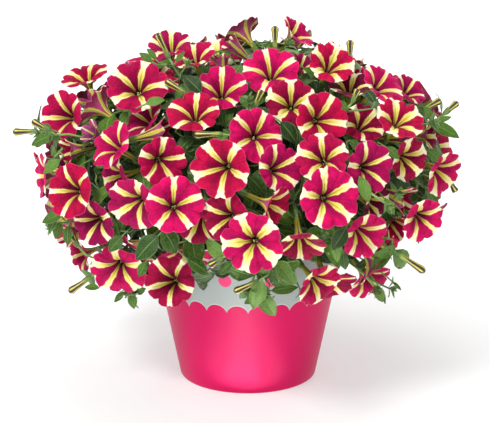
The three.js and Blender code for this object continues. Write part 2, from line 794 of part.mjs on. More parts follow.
// The pot: wall, floor and lip turned round the axis, with drainage holes
const potProfile = [
  [0, 0],
  [potBaseRadius, 0],
  [potRadiusAt(potHeight - lipHeight), potHeight - lipHeight],
  [potRadiusAt(potHeight - lipHeight) + lipWidth, potHeight - lipHeight],
  [potTopRadius + lipWidth, potHeight - rimBevel],
  [potTopRadius + lipWidth - rimBevel, potHeight],
  [potTopRadius - potWall, potHeight],
  [potRadiusAt(potFloor) - potWall, potFloor],
  [0, potFloor]
];
let potSolid = turned(potProfile);
const drain = new THREE.CylinderGeometry(drainRadius, drainRadius, potFloor * 3, drainSides);
drain.rotateX(Math.PI / 2);
for (let i = 0; i < drainCount; i += 1) {
  const angle = 2 * Math.PI * i / drainCount;
  const at = new THREE.Matrix4().makeRotationZ(angle);
  at.setPosition(Math.cos(angle) * drainCircle, Math.sin(angle) * drainCircle, 0);
  potSolid = potSolid.subtract(solidOf(drain, at));
}

// The soil: a little clear of the pot, crowned, with a socket for each stem
const soilInset = potWall + seatGap;
const soilProfile = [
  [0, potFloor + seatGap],
  [potRadiusAt(potFloor) - soilInset, potFloor + seatGap],
  [potRadiusAt(soilTop) - soilInset, soilTop],
  [0, soilTop + soilCrown]
];
let soilSolid = turned(soilProfile);
const socketLength = plantingDepth + seatGap + socketRise;
const highRadius = stemRadius + socketHighRoom;
const lowRadius = stemRadius + socketLowRoom;
const socket = new THREE.CylinderGeometry(highRadius, lowRadius, socketLength, socketSides);
socket.rotateX(Math.PI / 2);
for (const shoot of shoots) {
  const low = shoot.stem.getPoint(0);
  const at = new THREE.Matrix4().makeTranslation(low.x, low.y, low.z - seatGap + socketLength / 2);
  soilSolid = soilSolid.subtract(solidOf(socket, at));
}

// The finished group
const plant = new THREE.Group();

function addPiece(name, geometry, color, roughness) {
  const mesh = new THREE.Mesh(geometry, new THREE.MeshStandardMaterial({ color, roughness, metalness: 0 }));
  mesh.name = name;
  plant.add(mesh);
  return mesh;
}

function numbered(name, number) {
  return `${name}_${String(number).padStart(2, '0')}`;
}

addPiece('pot', geometryOf(potSolid), '#d81e66', 0.35);
addPiece('potting_soil', geometryOf(soilSolid), '#3a2a1e', 0.95);
shoots.forEach((shoot, i) => {
  const stem = solidOf(tubeGeometry(shoot.stem, stemRadius, stemSides, stemSteps));
  const joined = wholeBody(wasm.Manifold.union([stem, ...shoot.pieces]));
  addPiece(numbered('shoot', i + 1), geometryOf(joined), '#4c7d3a', 0.6);
});
blooms.filter((bloom) => bloom.own && bloom.kept).forEach((bloom, i) => {
  const { face, side, rise } = bloom.frame;
  const mesh = addPiece(numbered('flower', i + 1), corollaGeometry(bloom.radius, bloom.form), '#cf1f4c', 0.5);
  mesh.position.copy(bloom.middle);
  mesh.quaternion.setFromRotationMatrix(new THREE.Matrix4().makeBasis(side, rise, face));
});

export default plant;
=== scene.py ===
"""The potted petunia, dressed in petals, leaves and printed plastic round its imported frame.

Places are worked out in millimetres with the same tables and rules as the part's own source, so that
every bloom, stalk and leaf grows where the frame has it. Meshes are made in metres.
"""
import json
import math

import bpy
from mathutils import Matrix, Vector
import numpy as np

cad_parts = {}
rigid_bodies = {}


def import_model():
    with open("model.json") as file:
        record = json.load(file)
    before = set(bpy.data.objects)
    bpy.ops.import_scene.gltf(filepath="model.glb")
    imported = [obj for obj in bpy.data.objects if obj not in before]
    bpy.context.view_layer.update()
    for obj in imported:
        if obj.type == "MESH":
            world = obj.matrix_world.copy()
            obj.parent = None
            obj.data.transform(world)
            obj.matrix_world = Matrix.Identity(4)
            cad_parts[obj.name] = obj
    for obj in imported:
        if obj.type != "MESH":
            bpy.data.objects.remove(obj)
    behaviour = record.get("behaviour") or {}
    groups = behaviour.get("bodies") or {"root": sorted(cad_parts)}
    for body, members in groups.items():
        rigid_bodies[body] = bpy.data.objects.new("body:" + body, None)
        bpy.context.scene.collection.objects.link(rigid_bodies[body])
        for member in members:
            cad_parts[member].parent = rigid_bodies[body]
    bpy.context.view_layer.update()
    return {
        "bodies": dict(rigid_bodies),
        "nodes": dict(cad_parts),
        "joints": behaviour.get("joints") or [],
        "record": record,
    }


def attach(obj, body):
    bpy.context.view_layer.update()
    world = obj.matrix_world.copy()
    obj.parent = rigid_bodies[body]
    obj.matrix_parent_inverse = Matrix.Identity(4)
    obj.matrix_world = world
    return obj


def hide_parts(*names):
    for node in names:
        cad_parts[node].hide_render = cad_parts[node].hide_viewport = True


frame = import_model()

METRE = 0.001

# Pot and soil, as in the part
POT_BASE_RADIUS = 71.7
POT_TOP_RADIUS = 105.7
POT_HEIGHT = 165
POT_WALL = 2.2
POT_FLOOR = 3
LIP_WIDTH = 2.5
LIP_HEIGHT = 7
DRAIN_RADIUS = 4.5
DRAIN_CIRCLE = 46
DRAIN_COUNT = 8
SOIL_BELOW_RIM = 14
SOIL_CROWN = 3
PLANTING_DEPTH = 18
SOIL_TOP = POT_HEIGHT - SOIL_BELOW_RIM
MOST_BEADS = 60000
POT_BEAD_RADIUS = 8
SEAT_GAP = 0.3
GOLDEN_TURN = math.pi * (3 - math.sqrt(5))

# The dome of the plant and the front view, as in the part
DOME_MIDDLE = np.array([0, 0, 230.0])
DOME_REACH = np.array([225, 225, 138.0])
VIEW_TILT = math.radians(16)
VIEW_DISTANCE = 2300
VIEW_AIM = np.array([-3.2, 0, 177])
VIEW_MIDDLE = (245, 211.5)
VIEW_STEP = 1.05
FRAME_WIDTH = 490
OUTLINE_MIDDLE = (245, 165)
OUTLINE_REACHES = (
    216, 214, 190, 163, 150, 150, 144, 136, 148, 158, 196, 213,
    215, 208, 201, 186, 160, 132, 126, 132, 158, 185, 204, 207,
)

# Blooms, as in the part
COROLLA_LENGTH = 42
LIMB_THICKNESS = 1.2
STEEPEST_FACE = 0.97
LAYER_DEPTH = 8
MIDDLE_LAYER = 2
PUSH_STEP = 3
FEW_PUSHES = 11
MOST_PUSHES = 22
BLOOM_BEAD_SHARE = 0.14
TUBE_BEAD_RADIUS = 3.4
TUBE_BEAD_DEPTHS = (0.45, 0.6, 0.72, 0.84, 0.94)
OWN_NODE_WIDTH = 42
HIDDEN_BLOOM_RADII = (24, 29)
HIDDEN_BLOOM_COUNT = 142
HIDDEN_BLOOM_LOWEST = 130
HIDDEN_BLOOM_OFFSETS = (-4, -14, 6, -24, -34, -44)
HIDDEN_FROM_VIEW = 0.34
HIDDEN_BLOOM_TILT = 0.9
HIDDEN_OPEN_SHARE = 0.85
HALF_OPEN_RADIUS_SHARE = 0.6
FRAME_PROFILES = {
    "open": ((1, 0), (0.55, 0.09), (0.16, 0.42), (0.1, 1)),
    "half": ((1, 0), (0.74, 0.18), (0.36, 0.5), (0.2, 1)),
}

# Shoots, stalks, buds and leaves, as in the part
STEM_RADIUS = 3
STALK_RADIUS = 1.3
CALYX_LENGTH = 7
STALK_STEPS = 3
STALK_BENDS = (0, 14, 28, 44, 60, 80)
BEND_DIRECTIONS = 8
NEAR_SHOOTS = 5
STALK_SPACING = 0.045
JOINT_REACH = 16
START_REACH = 18
LOWEST_STALK = 0.5
STEM_STEPS = 6
STEM_BEAD_SPACING = 6
STALK_BEAD_SPACING = 4
STALK_BEAD_ROOM = 0.9
BUD_RADIUS = 3.4
LEAF_LENGTHS = (25, 38)
LEAF_WIDTH_SHARE = 0.55
LEAF_STALK_REACH = 12
LEAF_TURNS = 5
LEAF_EVERY = 3
LEAF_BEAD_RADIUS = 2.6
LEAF_LIFT = 0.7
TIP_PUSHES = (0, -6, 6, -12, 12, 20, 28)
LEAF_BEAD_PLACES = ((0.25, 0), (0.45, -0.8), (0.45, 0), (0.45, 0.8), (0.72, -0.3), (0.72, 0.3), (1, 0))
SHOOT_RINGS = ((274, 0, 1, 0, 0), (264, 98, 4, 45, 24), (205, 142, 7, -90, 52))

# The blooms of the front: the part's own rows (middle across and down, width, throat across and
# down, stripe turn, layer, form), then the tint of the petals and the width of their pale stripes
FRONT_BLOOMS = (
    (130, 72, 36, 133, 84, 10, -2, "open", "magenta", 0.9),
    (107, 80, 30, 115, 88, 0, -1, "open", "plum", 0.8),
    (220, 54, 20, 222, 68, 0, 0, "half", "magenta", 1),
    (227, 41, 22, 233, 46, 0, 0, "half", "magenta", 1),
    (302, 62, 26, 300, 68, 0, 0, "open", "plum", 0.9),
    (358, 69, 22, 358, 76, 0, 0, "half", "pink", 1),
    (328, 44, 24, 328, 52, 0, 0, "half", "rose", 1),
    (412, 88, 36, 405, 95, 0, 0, "open", "magenta", 1),
    (432, 136, 32, 422, 136, 0, 1, "open", "plum", 1.3),
    (64, 236, 26, 70, 234, 0, 0, "half", "pink", 1),
    (87, 130, 24, 92, 133, 0, 0, "half", "mauve", 0.7),
    (62, 152, 28, 70, 150.5, 0, 1, "half", "wine", 1),
    (170, 130, 28, 158, 133, 0, 1, "half", "wine", 1),
    (84, 73, 46, 89, 86, 1, 0, "open", "red", 1),
    (95, 103, 44, 107, 113, 0, 0, "openAway", "rose", 1),
    (160, 75, 44, 152, 84, 65, -2, "open", "red", 0.9),
    (169, 43, 42, 171, 54, 13, 1, "open", "magenta", 1.1),
    (240, 29, 40, 248, 39.5, 0, 1, "openAway", "magenta", 1),
    (299, 31, 38, 290, 39, 20, 1, "open", "rose", 1),
    (39, 176, 44, 54, 176, 36, 1, "open", "pink", 1),
    (77, 256, 38, 88, 252, 0, 0, "open", "rose", 1),
    (112, 178, 46, 125, 174, 65, 1, "open", "magenta", 1.15),
    (196, 228, 46, 200, 218, 29, 1, "open", "wine", 1.1),
    (350, 83, 44, 350, 95, 0, 1, "open", "maroon", 1.3),
    (365, 122, 44, 360, 129, 50, 1, "open", "wine", 1.1),
    (378, 204, 40, 367, 200, 0, 1, "open", "maroon", 1.2),
    (399, 231, 28, 395, 226, 0, -1, "half", "red", 1),
    (414, 133, 32, 403, 135, 0, 2, "half", "red", 1),
    (411, 202, 32, 401, 198, 0, 2, "half", "wine", 1),
    (62, 116, 50, 72, 118, 36, 2, "open", "crimson", 0.85),
    (192, 54, 42, 196, 65, 16, 2, "open", "crimson", 1),
    (222, 88, 50, 222, 97, 18, 2, "open", "rose", 0.9),
    (142, 117, 46, 152, 125, 60, 2, "open", "magenta", 0.7),
    (92, 224, 46, 99, 219, 33, 2, "open", "plum", 0.95),
    (168, 282, 51, 175, 281, 54, 2, "open", "wine", 0.9),
    (162, 162, 48, 158, 159, 12, 2, "open", "crimson", 1),
    (257, 134, 54, 254, 137, 69, 2, "open", "rose", 0.9),
    (224, 219, 50, 232, 216, 9, 2, "open", "wine", 1),
    (301, 249, 50, 299, 234, 54, 2, "open", "wine", 1),
    (332, 63, 46, 328, 71, 0, 2, "open", "red", 1.35),
    (291, 101, 50, 291, 107, 18, 2, "open", "wine", 1.35),
    (384, 83, 46, 375, 91, 70, 2, "open", "rose", 1),
    (281, 168, 48, 272, 170, 34, 2, "open", "magenta", 1),
    (410, 161, 44, 402, 156, 22, 2, "open", "wine", 1.35),
    (424, 221, 44, 418, 215, 28, 2, "open", "rose", 1.1),
    (371, 283, 46, 363, 272, 18, 2, "open", "rose", 1),
    (109, 143, 50, 120, 150, 56, 3, "open", "rose", 0.75),
    (194, 110, 52, 195, 121, 12, 3, "open", "red", 0.95),
    (68, 190, 54, 79, 191, 36, 3, "open", "red", 0.85),
    (132, 205, 56, 142, 198, 2, 3, "open", "magenta", 1.1),
    (117, 272, 55, 120, 262, 24, 3, "open", "rose", 1.1),
    (277, 208, 46, 264, 202, 22, 3, "open", "red", 1),
    (320, 286, 47, 312, 277, 54, 3, "open", "crimson", 1.25),
    (272, 68, 55, 271, 80, 33, 3, "open", "rose", 0.95),
    (322, 119, 54, 316, 120, 63, 3, "open", "red", 1.05),
    (401, 117, 48, 396, 126, 31, 3, "open", "red", 1.4),
    (371, 168, 50, 362, 167, 28, 3, "open", "magenta", 0.9),
    (445, 174, 46, 434, 167, 15, 3, "open", "rose", 1.1),
    (365, 237, 50, 357, 228, 14, 3, "open", "rose", 1),
    (137, 85, 58, 138, 93, 2, 3, "open", "crimson", 1.05),
    (174, 204, 57, 173, 207, 18, 4, "open", "rose", 0.95),
    (221, 168, 58, 228, 166, 53, 4, "open", "red", 1.1),
    (322, 156, 52, 325, 161, 21, 4, "open", "crimson", 1.2),
    (250, 243, 60, 255, 241, 40, 5, "open", "rose", 1.35),
    (330, 197, 60, 324, 198, 30, 5, "open", "rose", 1.1),
)

# Buds and leafy tips of the front, as in the part: root and tip in the view, and kind
FRONT_TIPS = (
    (169, 58, 157, 33, "bud"),
    (37, 131, 13, 132, "bud"),
    (91, 277, 69, 292, "bud"),
    (78, 246, 72, 236, "bud"),
    (222, 134, 194, 135, "bud"),
    (187, 94, 165, 81, "bud"),
    (254, 108, 262, 90, "bud"),
    (50, 131, 32, 121, "bud"),
    (222, 258, 209, 266, "bud"),
    (258, 281, 234, 292, "bud"),
    (275, 50, 275, 26, "bud"),
    (350, 62, 350, 40, "bud"),
    (352, 103, 358, 89, "bud"),
    (423, 110, 441, 100, "bud"),
    (444, 114, 458, 102, "bud"),
    (450, 182, 456, 192, "bud"),
    (397, 253, 425, 272, "bud"),
    (430, 122, 464, 134, "leaf"),
    (55, 135, 27, 140, "leaf"),
    (54, 158, 46, 175, "leaf"),
    (60, 212, 44, 232, "leaf"),
    (132, 290, 133, 310, "leaf"),
    (262, 292, 274, 321, "leaf"),
    (250, 286, 241, 302, "leaf"),
    (280, 270, 298, 290, "leaf"),
    (374, 286, 387, 303, "leaf"),
    (392, 250, 368, 268, "leaf"),
    (362, 178, 370, 204, "leaf"),
    (385, 203, 396, 214, "leaf"),
)

# Leaves that show among the blooms of the front: foot and tip in the view, width as a share of the
# length, and tone from dark to pale
FRONT_LEAVES = (
    (55, 135, 27, 141, 0.5, 0.5),
    (52, 130, 36, 124, 0.55, 0.55),
    (60, 160, 42, 172, 0.6, 0.7),
    (62, 214, 41, 221, 0.6, 0.5),
    (60, 222, 55, 240, 0.55, 0.6),
    (68, 226, 66, 246, 0.5, 0.45),
    (134, 88, 146, 99, 0.7, 0.65),
    (146, 104, 165, 97, 0.5, 0.75),
    (132, 104, 115, 108, 0.55, 0.7),
    (128, 112, 118, 123, 0.6, 0.55),
    (201, 92, 184, 74, 0.65, 0.12),
    (152, 62, 139, 51, 0.45, 0.55),
    (156, 60, 148, 46, 0.4, 0.6),
    (176, 62, 184, 50, 0.4, 0.6),
    (158, 236, 133, 259, 0.65, 0.32),
    (163, 230, 180, 253, 0.75, 0.4),
    (188, 260, 212, 271, 0.6, 0.42),
    (146, 262, 138, 277, 0.6, 0.5),
    (122, 236, 108, 252, 0.6, 0.4),
    (99, 288, 84, 285, 0.5, 0.6),
    (131, 292, 134, 311, 0.5, 0.55),
    (124, 292, 113, 302, 0.45, 0.65),
    (268, 290, 242, 301, 0.5, 0.8),
    (272, 291, 298, 285, 0.5, 0.8),
    (275, 262, 297, 281, 0.6, 0.75),
    (232, 262, 218, 274, 0.6, 0.4),
    (430, 124, 464, 134, 0.4, 0.55),
    (432, 121, 424, 105, 0.4, 0.55),
    (436, 122, 452, 115, 0.38, 0.6),
    (437, 126, 452, 135, 0.42, 0.45),
    (428, 150, 442, 161, 0.7, 0.5),
    (361, 177, 369, 204, 0.45, 0.75),
    (350, 140, 363, 151, 0.6, 0.5),
    (386, 147, 401, 158, 0.55, 0.55),
    (385, 199, 397, 214, 0.5, 0.7),
    (392, 250, 367, 269, 0.52, 0.5),
    (343, 254, 345, 271, 0.6, 0.4),
    (380, 289, 388, 304, 0.3, 0.5),
    (393, 282, 402, 290, 0.3, 0.55),
    (281, 122, 299, 143, 0.6, 0.1),
    (346, 228, 332, 251, 0.6, 0.2),
    (335, 236, 338, 263, 0.4, 0.8),
    (286, 52, 298, 64, 0.5, 0.6),
    (258, 56, 254, 42, 0.35, 0.6),
    (304, 68, 318, 75, 0.5, 0.55),
    (187, 90, 202, 74, 0.6, 0.15),
    (247, 108, 240, 94, 0.4, 0.5),
    (375, 102, 366, 88, 0.6, 0.15),
    (212, 200, 206, 184, 0.6, 0.1),
    (300, 262, 286, 270, 0.5, 0.6),
)
LEAF_PUSHES = (0, 5, -5, 10, -10, 16, 22, -16, 28)

# Young tips with a rosette of small leaves: foot and tip in the view, and the length of the leaves
YOUNG_TIPS = (
    (428, 124, 444, 120, 15),
    (42, 136, 30, 128, 13),
    (56, 226, 46, 232, 14),
    (250, 104, 246, 92, 12),
    (264, 298, 270, 316, 13),
    (258, 50, 259, 38, 11),
    (286, 46, 292, 38, 11),
    (270, 48, 268, 38, 10),
    (186, 66, 192, 58, 10),
    (126, 288, 130, 302, 12),
    (388, 288, 402, 292, 11),
    (244, 262, 236, 272, 11),
    (396, 190, 402, 200, 12),
    (300, 290, 306, 300, 10),
    (344, 214, 350, 224, 11),
)

# Petal tints, red, green and blue from 0 to 255
TINTS = {
    "red": (189, 5, 60),
    "crimson": (180, 5, 66),
    "rose": (200, 5, 84),
    "pink": (214, 20, 98),
    "magenta": (172, 7, 78),
    "plum": (142, 6, 68),
    "wine": (150, 3, 52),
    "maroon": (90, 2, 36),
    "mauve": (184, 88, 136),
}
HIDDEN_TINTS = ("red", "rose", "crimson", "magenta", "wine", "rose", "red", "plum")

# Looks of the dressed pieces
PETAL_THICKNESS = 0.45
PETALS = 5
OWN_AROUND = 80
SMALL_AROUND = 50
HIDDEN_AROUND = 40
KNOB_RINGS = 3
KNOB_AROUND = 6
THREAD_RADIUS = 0.2
STIGMA_DEPTH = 0.42
SEPALS = 5
SEPAL_LENGTH = 12
SEPAL_THICKNESS = 0.35
SEPAL_SEAT = 2.5
SEPAL_REACH = 1.9
BUD_CALYX_SCALE = 0.75
SEPAL_WIDTH = 3
LEAF_THICKNESS = 0.4
STEM_AROUND = 10
STALK_AROUND = 7
BUD_AROUND = 10
STALK_SHARES = np.linspace(0, 1, 13)
STALK_SAMPLES = 10
STALK_SEAT = ((1.5, 2.9), (-1, 2.8), (-3, 1.9))
STALK_RADII = (1.15, 1.35)
THIN_STALK_RADII = (1.1, 1.3)
LEAF_STALK_RADIUS = 0.8
YOUNG_STALK_RADIUS = 1.0
STEM_TONE = 0.2
STALK_TONE = 0.72
BUD_PROFILE = ((0, 1.5), (0.1, 2.3), (0.35, 2.5), (0.7, 3.3), (0.88, 4.1), (0.97, 3.4), (1, 1.6))
LEAF_STEPS = (8, 3)
SMALL_LEAF_STEPS = (5, 2)
FRONT_LEAF_STEPS = (10, 4)
YOUNG_LEAF_STEPS = (7, 2)
SEPAL_STEPS = (5, 1)
MORE_LEAF_SHARES = (0.03, 0.1, 0.18, 0.27, 0.37, 0.48, 0.6, 0.74, 0.88)
MORE_LEAF_TURNS = 6
MORE_LEAF_LENGTHS = (17, 36)
MORE_LEAF_BEAD_RADIUS = 1.3
FREE_LEAF_BEAD_RADIUS = 1.2
YOUNG_LEAVES = 9
YOUNG_BEAD_RADIUS = 3
SPRIG_LEAF_LENGTH = 12
FACE_SHARE = 0.9
WIDE_FACE_SHARE = 0.95
COVER_BEHIND = 3
COVER_BEFORE = 90
CROWN_LEAVES = 520
CROWN_LEAF_LENGTHS = (22, 38)
CROWN_DEPTHS = (0.88, 0.83, 0.78, 0.72, 0.65, 0.57)
CROWN_TURNS = 4
CROWN_SPAN = 1.35
CROWN_FRONT_LOWEST = 195
POT_AROUND = 144
DRAIN_AROUND = 20
SOIL_AROUND = 72


# Small helpers; a wave starts at PHASE times a number between 0 and 1
PHASE = 6.3


def scatter(n):
    """A repeatable number between 0 and 1 for the nth use."""
    wave = math.sin(n * 12.9898) * 43758.5453
    return wave - math.floor(wave)


def scatter_between(span, n):
    return span[0] + (span[1] - span[0]) * scatter(n)


def unit(v):
    return v / np.linalg.norm(v)


def units(rows):
    return rows / np.linalg.norm(rows, axis=-1)[..., None]


def smooth_step(low, high, value):
    t = np.clip((value - low) / (high - low), 0, 1)
    return t * t * (3 - 2 * t)


Z_UP = np.array([0, 0, 1.0])
VIEW_RIGHT = np.array([1.0, 0, 0])
VIEW_UP = np.array([0, math.sin(VIEW_TILT), math.cos(VIEW_TILT)])
VIEW_NEARER = np.array([0, -math.cos(VIEW_TILT), math.sin(VIEW_TILT)])
VIEW_EYE = VIEW_AIM + VIEW_NEARER * VIEW_DISTANCE


def across_from(direction):
    """A direction square to another one."""
    helper = Z_UP if abs(direction[2]) < math.sqrt(0.5) else VIEW_RIGHT
    return unit(np.cross(direction, helper))


def turned_about(v, axis, angle):
    """A vector turned about an axis of length one."""
    c, s = math.cos(angle), math.sin(angle)
    return v * c + np.cross(axis, v) * s + axis * (axis @ v) * (1 - c)


def sight_to(across, down):
    right = (across - VIEW_MIDDLE[0]) * VIEW_STEP / VIEW_DISTANCE
    up = (VIEW_MIDDLE[1] - down) * VIEW_STEP / VIEW_DISTANCE
    return -VIEW_NEARER + VIEW_RIGHT * right + VIEW_UP * up


def depth_on_dome(sight):
    start = (VIEW_EYE - DOME_MIDDLE) / DOME_REACH
    along = sight / DOME_REACH
    a, b, c = along @ along, start @ along, start @ start - 1
    return (-b - math.sqrt(max(0, b * b - a * c))) / a


def place_in_view(across, down, nearer):
    sight = sight_to(across, down)
    return VIEW_EYE + sight * (depth_on_dome(sight) - nearer)


def inside_outline(places):
    """Whether all the places lie inside the plant's outline in the front view."""
    sight = places - VIEW_EYE
    scale = -VIEW_DISTANCE / (sight @ VIEW_NEARER) / VIEW_STEP
    across = VIEW_MIDDLE[0] - OUTLINE_MIDDLE[0] + sight @ VIEW_RIGHT * scale
    up = OUTLINE_MIDDLE[1] - VIEW_MIDDLE[1] + sight @ VIEW_UP * scale
    count = len(OUTLINE_REACHES)
    place = (np.arctan2(up, across) / (2 * np.pi) + 1) * count
    reach = np.interp(place % count, range(count + 1), OUTLINE_REACHES + OUTLINE_REACHES[:1])
    return bool((np.hypot(across, up) < reach).all())


# Round beads that keep room for each piece, with the owner and the shoot that each belongs to
class Beads:
    def __init__(self):
        self.at = np.zeros((MOST_BEADS, 3))
        self.radius = np.zeros(MOST_BEADS)
        self.owner = np.full(MOST_BEADS, -1)
        self.shoot = np.full(MOST_BEADS, -1)
        self.count = 0

    def add(self, places, radii, owner, shoot):
        span = slice(self.count, self.count + len(places))
        self.at[span] = places
        self.radius[span] = radii
        self.owner[span] = owner
        self.shoot[span] = shoot
        self.count = span.stop

    def close(self, kept, wanted, place, reach):
        """Which beads belong to the wanted shoot or owner and lie near a place."""
        same = kept[: self.count] == wanted
        return same & (np.linalg.norm(self.at[: self.count] - place, axis=1) < reach)

    def have_room(self, places, radii, shoot=None, joint=None, joint_reach=0, owner=None, start=None):
        """Whether no bead meets the places.

        Beads of the shoot near joint, and beads of the owner near start, are left out."""
        places = np.asarray(places)
        radii = np.broadcast_to(radii, len(places))
        widest = radii.max() + POT_BEAD_RADIUS
        at, size = self.at[: self.count], self.radius[: self.count]
        near = np.all((at > places.min(0) - widest) & (at < places.max(0) + widest), axis=1)
        if shoot is not None:
            near &= ~self.close(self.shoot, shoot, joint, joint_reach)
        if start is not None:
            near &= ~self.close(self.owner, owner, start, START_REACH)
        at, size = at[near], size[near]
        apart = ((places[:, None, :] - at[None]) ** 2).sum(2)
        return bool((apart > (radii[:, None] + size[None]) ** 2).all())


beads = Beads()


# Blooms
def bloom_frame(face, stripe_turn):
    across = VIEW_RIGHT - face * (VIEW_RIGHT @ face)
    if np.linalg.norm(across) < 0.2:
        across = Z_UP - face * (Z_UP @ face)
    across = unit(across)
    side = across * math.cos(stripe_turn) + np.cross(face, across) * math.sin(stripe_turn)
    return side, np.cross(face, side), face


def bloom_beads(bloom):
    side, rise, face = bloom["frame"]
    radius = bloom["radius"]
    rim, belly, throat, _ = FRAME_PROFILES[bloom["form"]]
    bead = radius * BLOOM_BEAD_SHARE
    rings = [
        (0.92, 0.015, 20, bead),
        (0.7, (rim[1] + belly[1]) * 0.62, 14, bead),
        (belly[0] * 0.85, belly[1] * 1.3, 9, bead),
        ((belly[0] + throat[0]) / 2, (belly[1] + throat[1]) / 2, 6, bead),
        (throat[0] * 0.6, throat[1] * 0.85, 4, bead),
    ]
    rings += [(0, depth, 1, TUBE_BEAD_RADIUS) for depth in TUBE_BEAD_DEPTHS]
    places, radii = [], []
    for share, depth, count, size in rings:
        for i in range(count):
            angle = 2 * math.pi * i / count
            aside = side * math.cos(angle) + rise * math.sin(angle)
            places.append(bloom["middle"] - face * depth * COROLLA_LENGTH + aside * share * radius)
            radii.append(size)
    return np.array(places), np.array(radii)


def pot_radius_at(height):
    return POT_BASE_RADIUS + (POT_TOP_RADIUS - POT_BASE_RADIUS) * height / POT_HEIGHT


def add_ring_beads(distance, height):
    count = max(1, math.ceil(2 * math.pi * distance / POT_BEAD_RADIUS))
    turns = 2 * np.pi * np.arange(count) / count
    places = np.stack([np.cos(turns) * distance, np.sin(turns) * distance, np.full(count, height)], 1)
    beads.add(places, POT_BEAD_RADIUS, -1, -1)


height = POT_HEIGHT - POT_BEAD_RADIUS
while height > POT_HEIGHT / 2:
    add_ring_beads(pot_radius_at(height) - POT_BEAD_RADIUS / 2, height)
    height -= POT_BEAD_RADIUS
for distance in np.arange(0, POT_TOP_RADIUS, POT_BEAD_RADIUS):
    add_ring_beads(distance, POT_HEIGHT - SOIL_BELOW_RIM + SOIL_CROWN - POT_BEAD_RADIUS)

blooms = []


def keep_bloom(bloom):
    bloom["number"] = len(blooms)
    blooms.append(bloom)
    beads.add(*bloom_beads(bloom), bloom["number"], -1)


pushes = list(range(FEW_PUSHES)) + [-k for k in range(1, FEW_PUSHES)] + list(range(FEW_PUSHES, MOST_PUSHES))
for row in sorted(FRONT_BLOOMS, key=lambda row: row[6]):
    x, y, width, throat_x, throat_y, stripe, layer, form, tint, stripe_width = row
    away = form.endswith("Away")
    lean = np.array([x - throat_x, throat_y - y]) / (0.35 * width)
    steep = np.linalg.norm(lean)
    if steep > STEEPEST_FACE:
        lean = lean * STEEPEST_FACE / steep
    outward = math.sqrt(1 - lean @ lean) * (-1 if away else 1)
    face = VIEW_RIGHT * lean[0] + VIEW_UP * lean[1] + VIEW_NEARER * outward
    start = place_in_view(x, y, 0)
    bloom = {
        "form": form.replace("Away", ""),
        "frame": bloom_frame(face, math.radians(-stripe if away else stripe)),
        "radius": width / 2 * VIEW_STEP * np.linalg.norm(VIEW_EYE - start) / VIEW_DISTANCE,
        "own": width >= OWN_NODE_WIDTH,
        "tint": TINTS[tint],
        "stripe": stripe_width,
    }
    for push in pushes:
        bloom["middle"] = place_in_view(x, y, (layer - MIDDLE_LAYER) * LAYER_DEPTH + push * PUSH_STEP)
        if beads.have_room(*bloom_beads(bloom)):
            break
    keep_bloom(bloom)

for i in range(HIDDEN_BLOOM_COUNT):
    level = 1 - (2 * i + 1) / HIDDEN_BLOOM_COUNT
    circle = math.sqrt(1 - level * level)
    turn = i * GOLDEN_TURN
    spot = np.array([math.cos(turn) * circle, math.sin(turn) * circle, level])
    face = unit(spot / DOME_REACH)
    on_dome = spot * DOME_REACH + DOME_MIDDLE
    if face @ VIEW_NEARER > HIDDEN_FROM_VIEW or on_dome[2] < HIDDEN_BLOOM_LOWEST:
        continue
    tilt = np.array([scatter(i + 0.1), scatter(i + 0.2), scatter(i + 0.3)]) - 0.5
    face = unit(face + tilt * HIDDEN_BLOOM_TILT)
    is_open = scatter(i + 0.4) < HIDDEN_OPEN_SHARE
    bloom = {
        "form": "open" if is_open else "half",
        "frame": bloom_frame(face, scatter(i + 0.5) * 2 * math.pi),
        "radius": scatter_between(HIDDEN_BLOOM_RADII, i + 0.6) * (1 if is_open else HALF_OPEN_RADIUS_SHARE),
        "own": False,
        "tint": TINTS[HIDDEN_TINTS[int(scatter(i + 0.7) * len(HIDDEN_TINTS))]],
        "stripe": 0.8 + 0.5 * scatter(i + 0.8),
    }
    for offset in HIDDEN_BLOOM_OFFSETS:
        bloom["middle"] = on_dome + face * offset
        places, radii = bloom_beads(bloom)
        if inside_outline(places) and beads.have_room(places, radii):
            keep_bloom(bloom)
            break


# Curves of stems and stalks
class Curve:
    """A cubic curve that can be walked in even steps."""

    def __init__(self, *knots):
        self.knots = np.array(knots)
        self.shares = np.linspace(0, 1, 201)
        steps = np.linalg.norm(np.diff(self.at(self.shares), axis=0), axis=1)
        self.lengths = np.concatenate([[0], np.cumsum(steps)])

    def at(self, t):
        t = np.asarray(t, float)[..., None]
        a, b, c, d = self.knots
        return a * (1 - t) ** 3 + 3 * b * t * (1 - t) ** 2 + 3 * c * t * t * (1 - t) + d * t ** 3

    def even(self, share):
        return self.at(self.inner(share))

    def inner(self, share):
        return np.interp(np.asarray(share) * self.lengths[-1], self.lengths, self.shares)

    def heading(self, share):
        t = self.inner(share)
        return unit(self.at(min(1, t + 1e-4)) - self.at(max(0, t - 1e-4)))


def curve_beads(curve, steps, spacing):
    joints = curve.even(np.linspace(0, 1, steps + 1))
    places = []
    for one, other in zip(joints[:-1], joints[1:]):
        count = math.ceil(np.linalg.norm(other - one) / spacing)
        places += [one + (other - one) * k / count for k in range(count)]
    return np.array(places)


shoots = []
for fork_height, distance, count, ring_turn, root_distance in SHOOT_RINGS:
    for i in range(count):
        turn = math.radians(ring_turn) + 2 * math.pi * i / count
        outward = np.array([math.cos(turn), math.sin(turn), 0])
        root = outward * root_distance + Z_UP * (SOIL_TOP - PLANTING_DEPTH)
        fork = outward * distance + Z_UP * fork_height
        lift = outward * root_distance + Z_UP * (SOIL_TOP + (fork_height - SOIL_TOP) * 0.5)
        bend = outward * (root_distance + distance) / 2 + Z_UP * (fork_height - 4)
        shoots.append({"fork": fork, "stem": Curve(root, lift, bend, fork), "stalks": []})

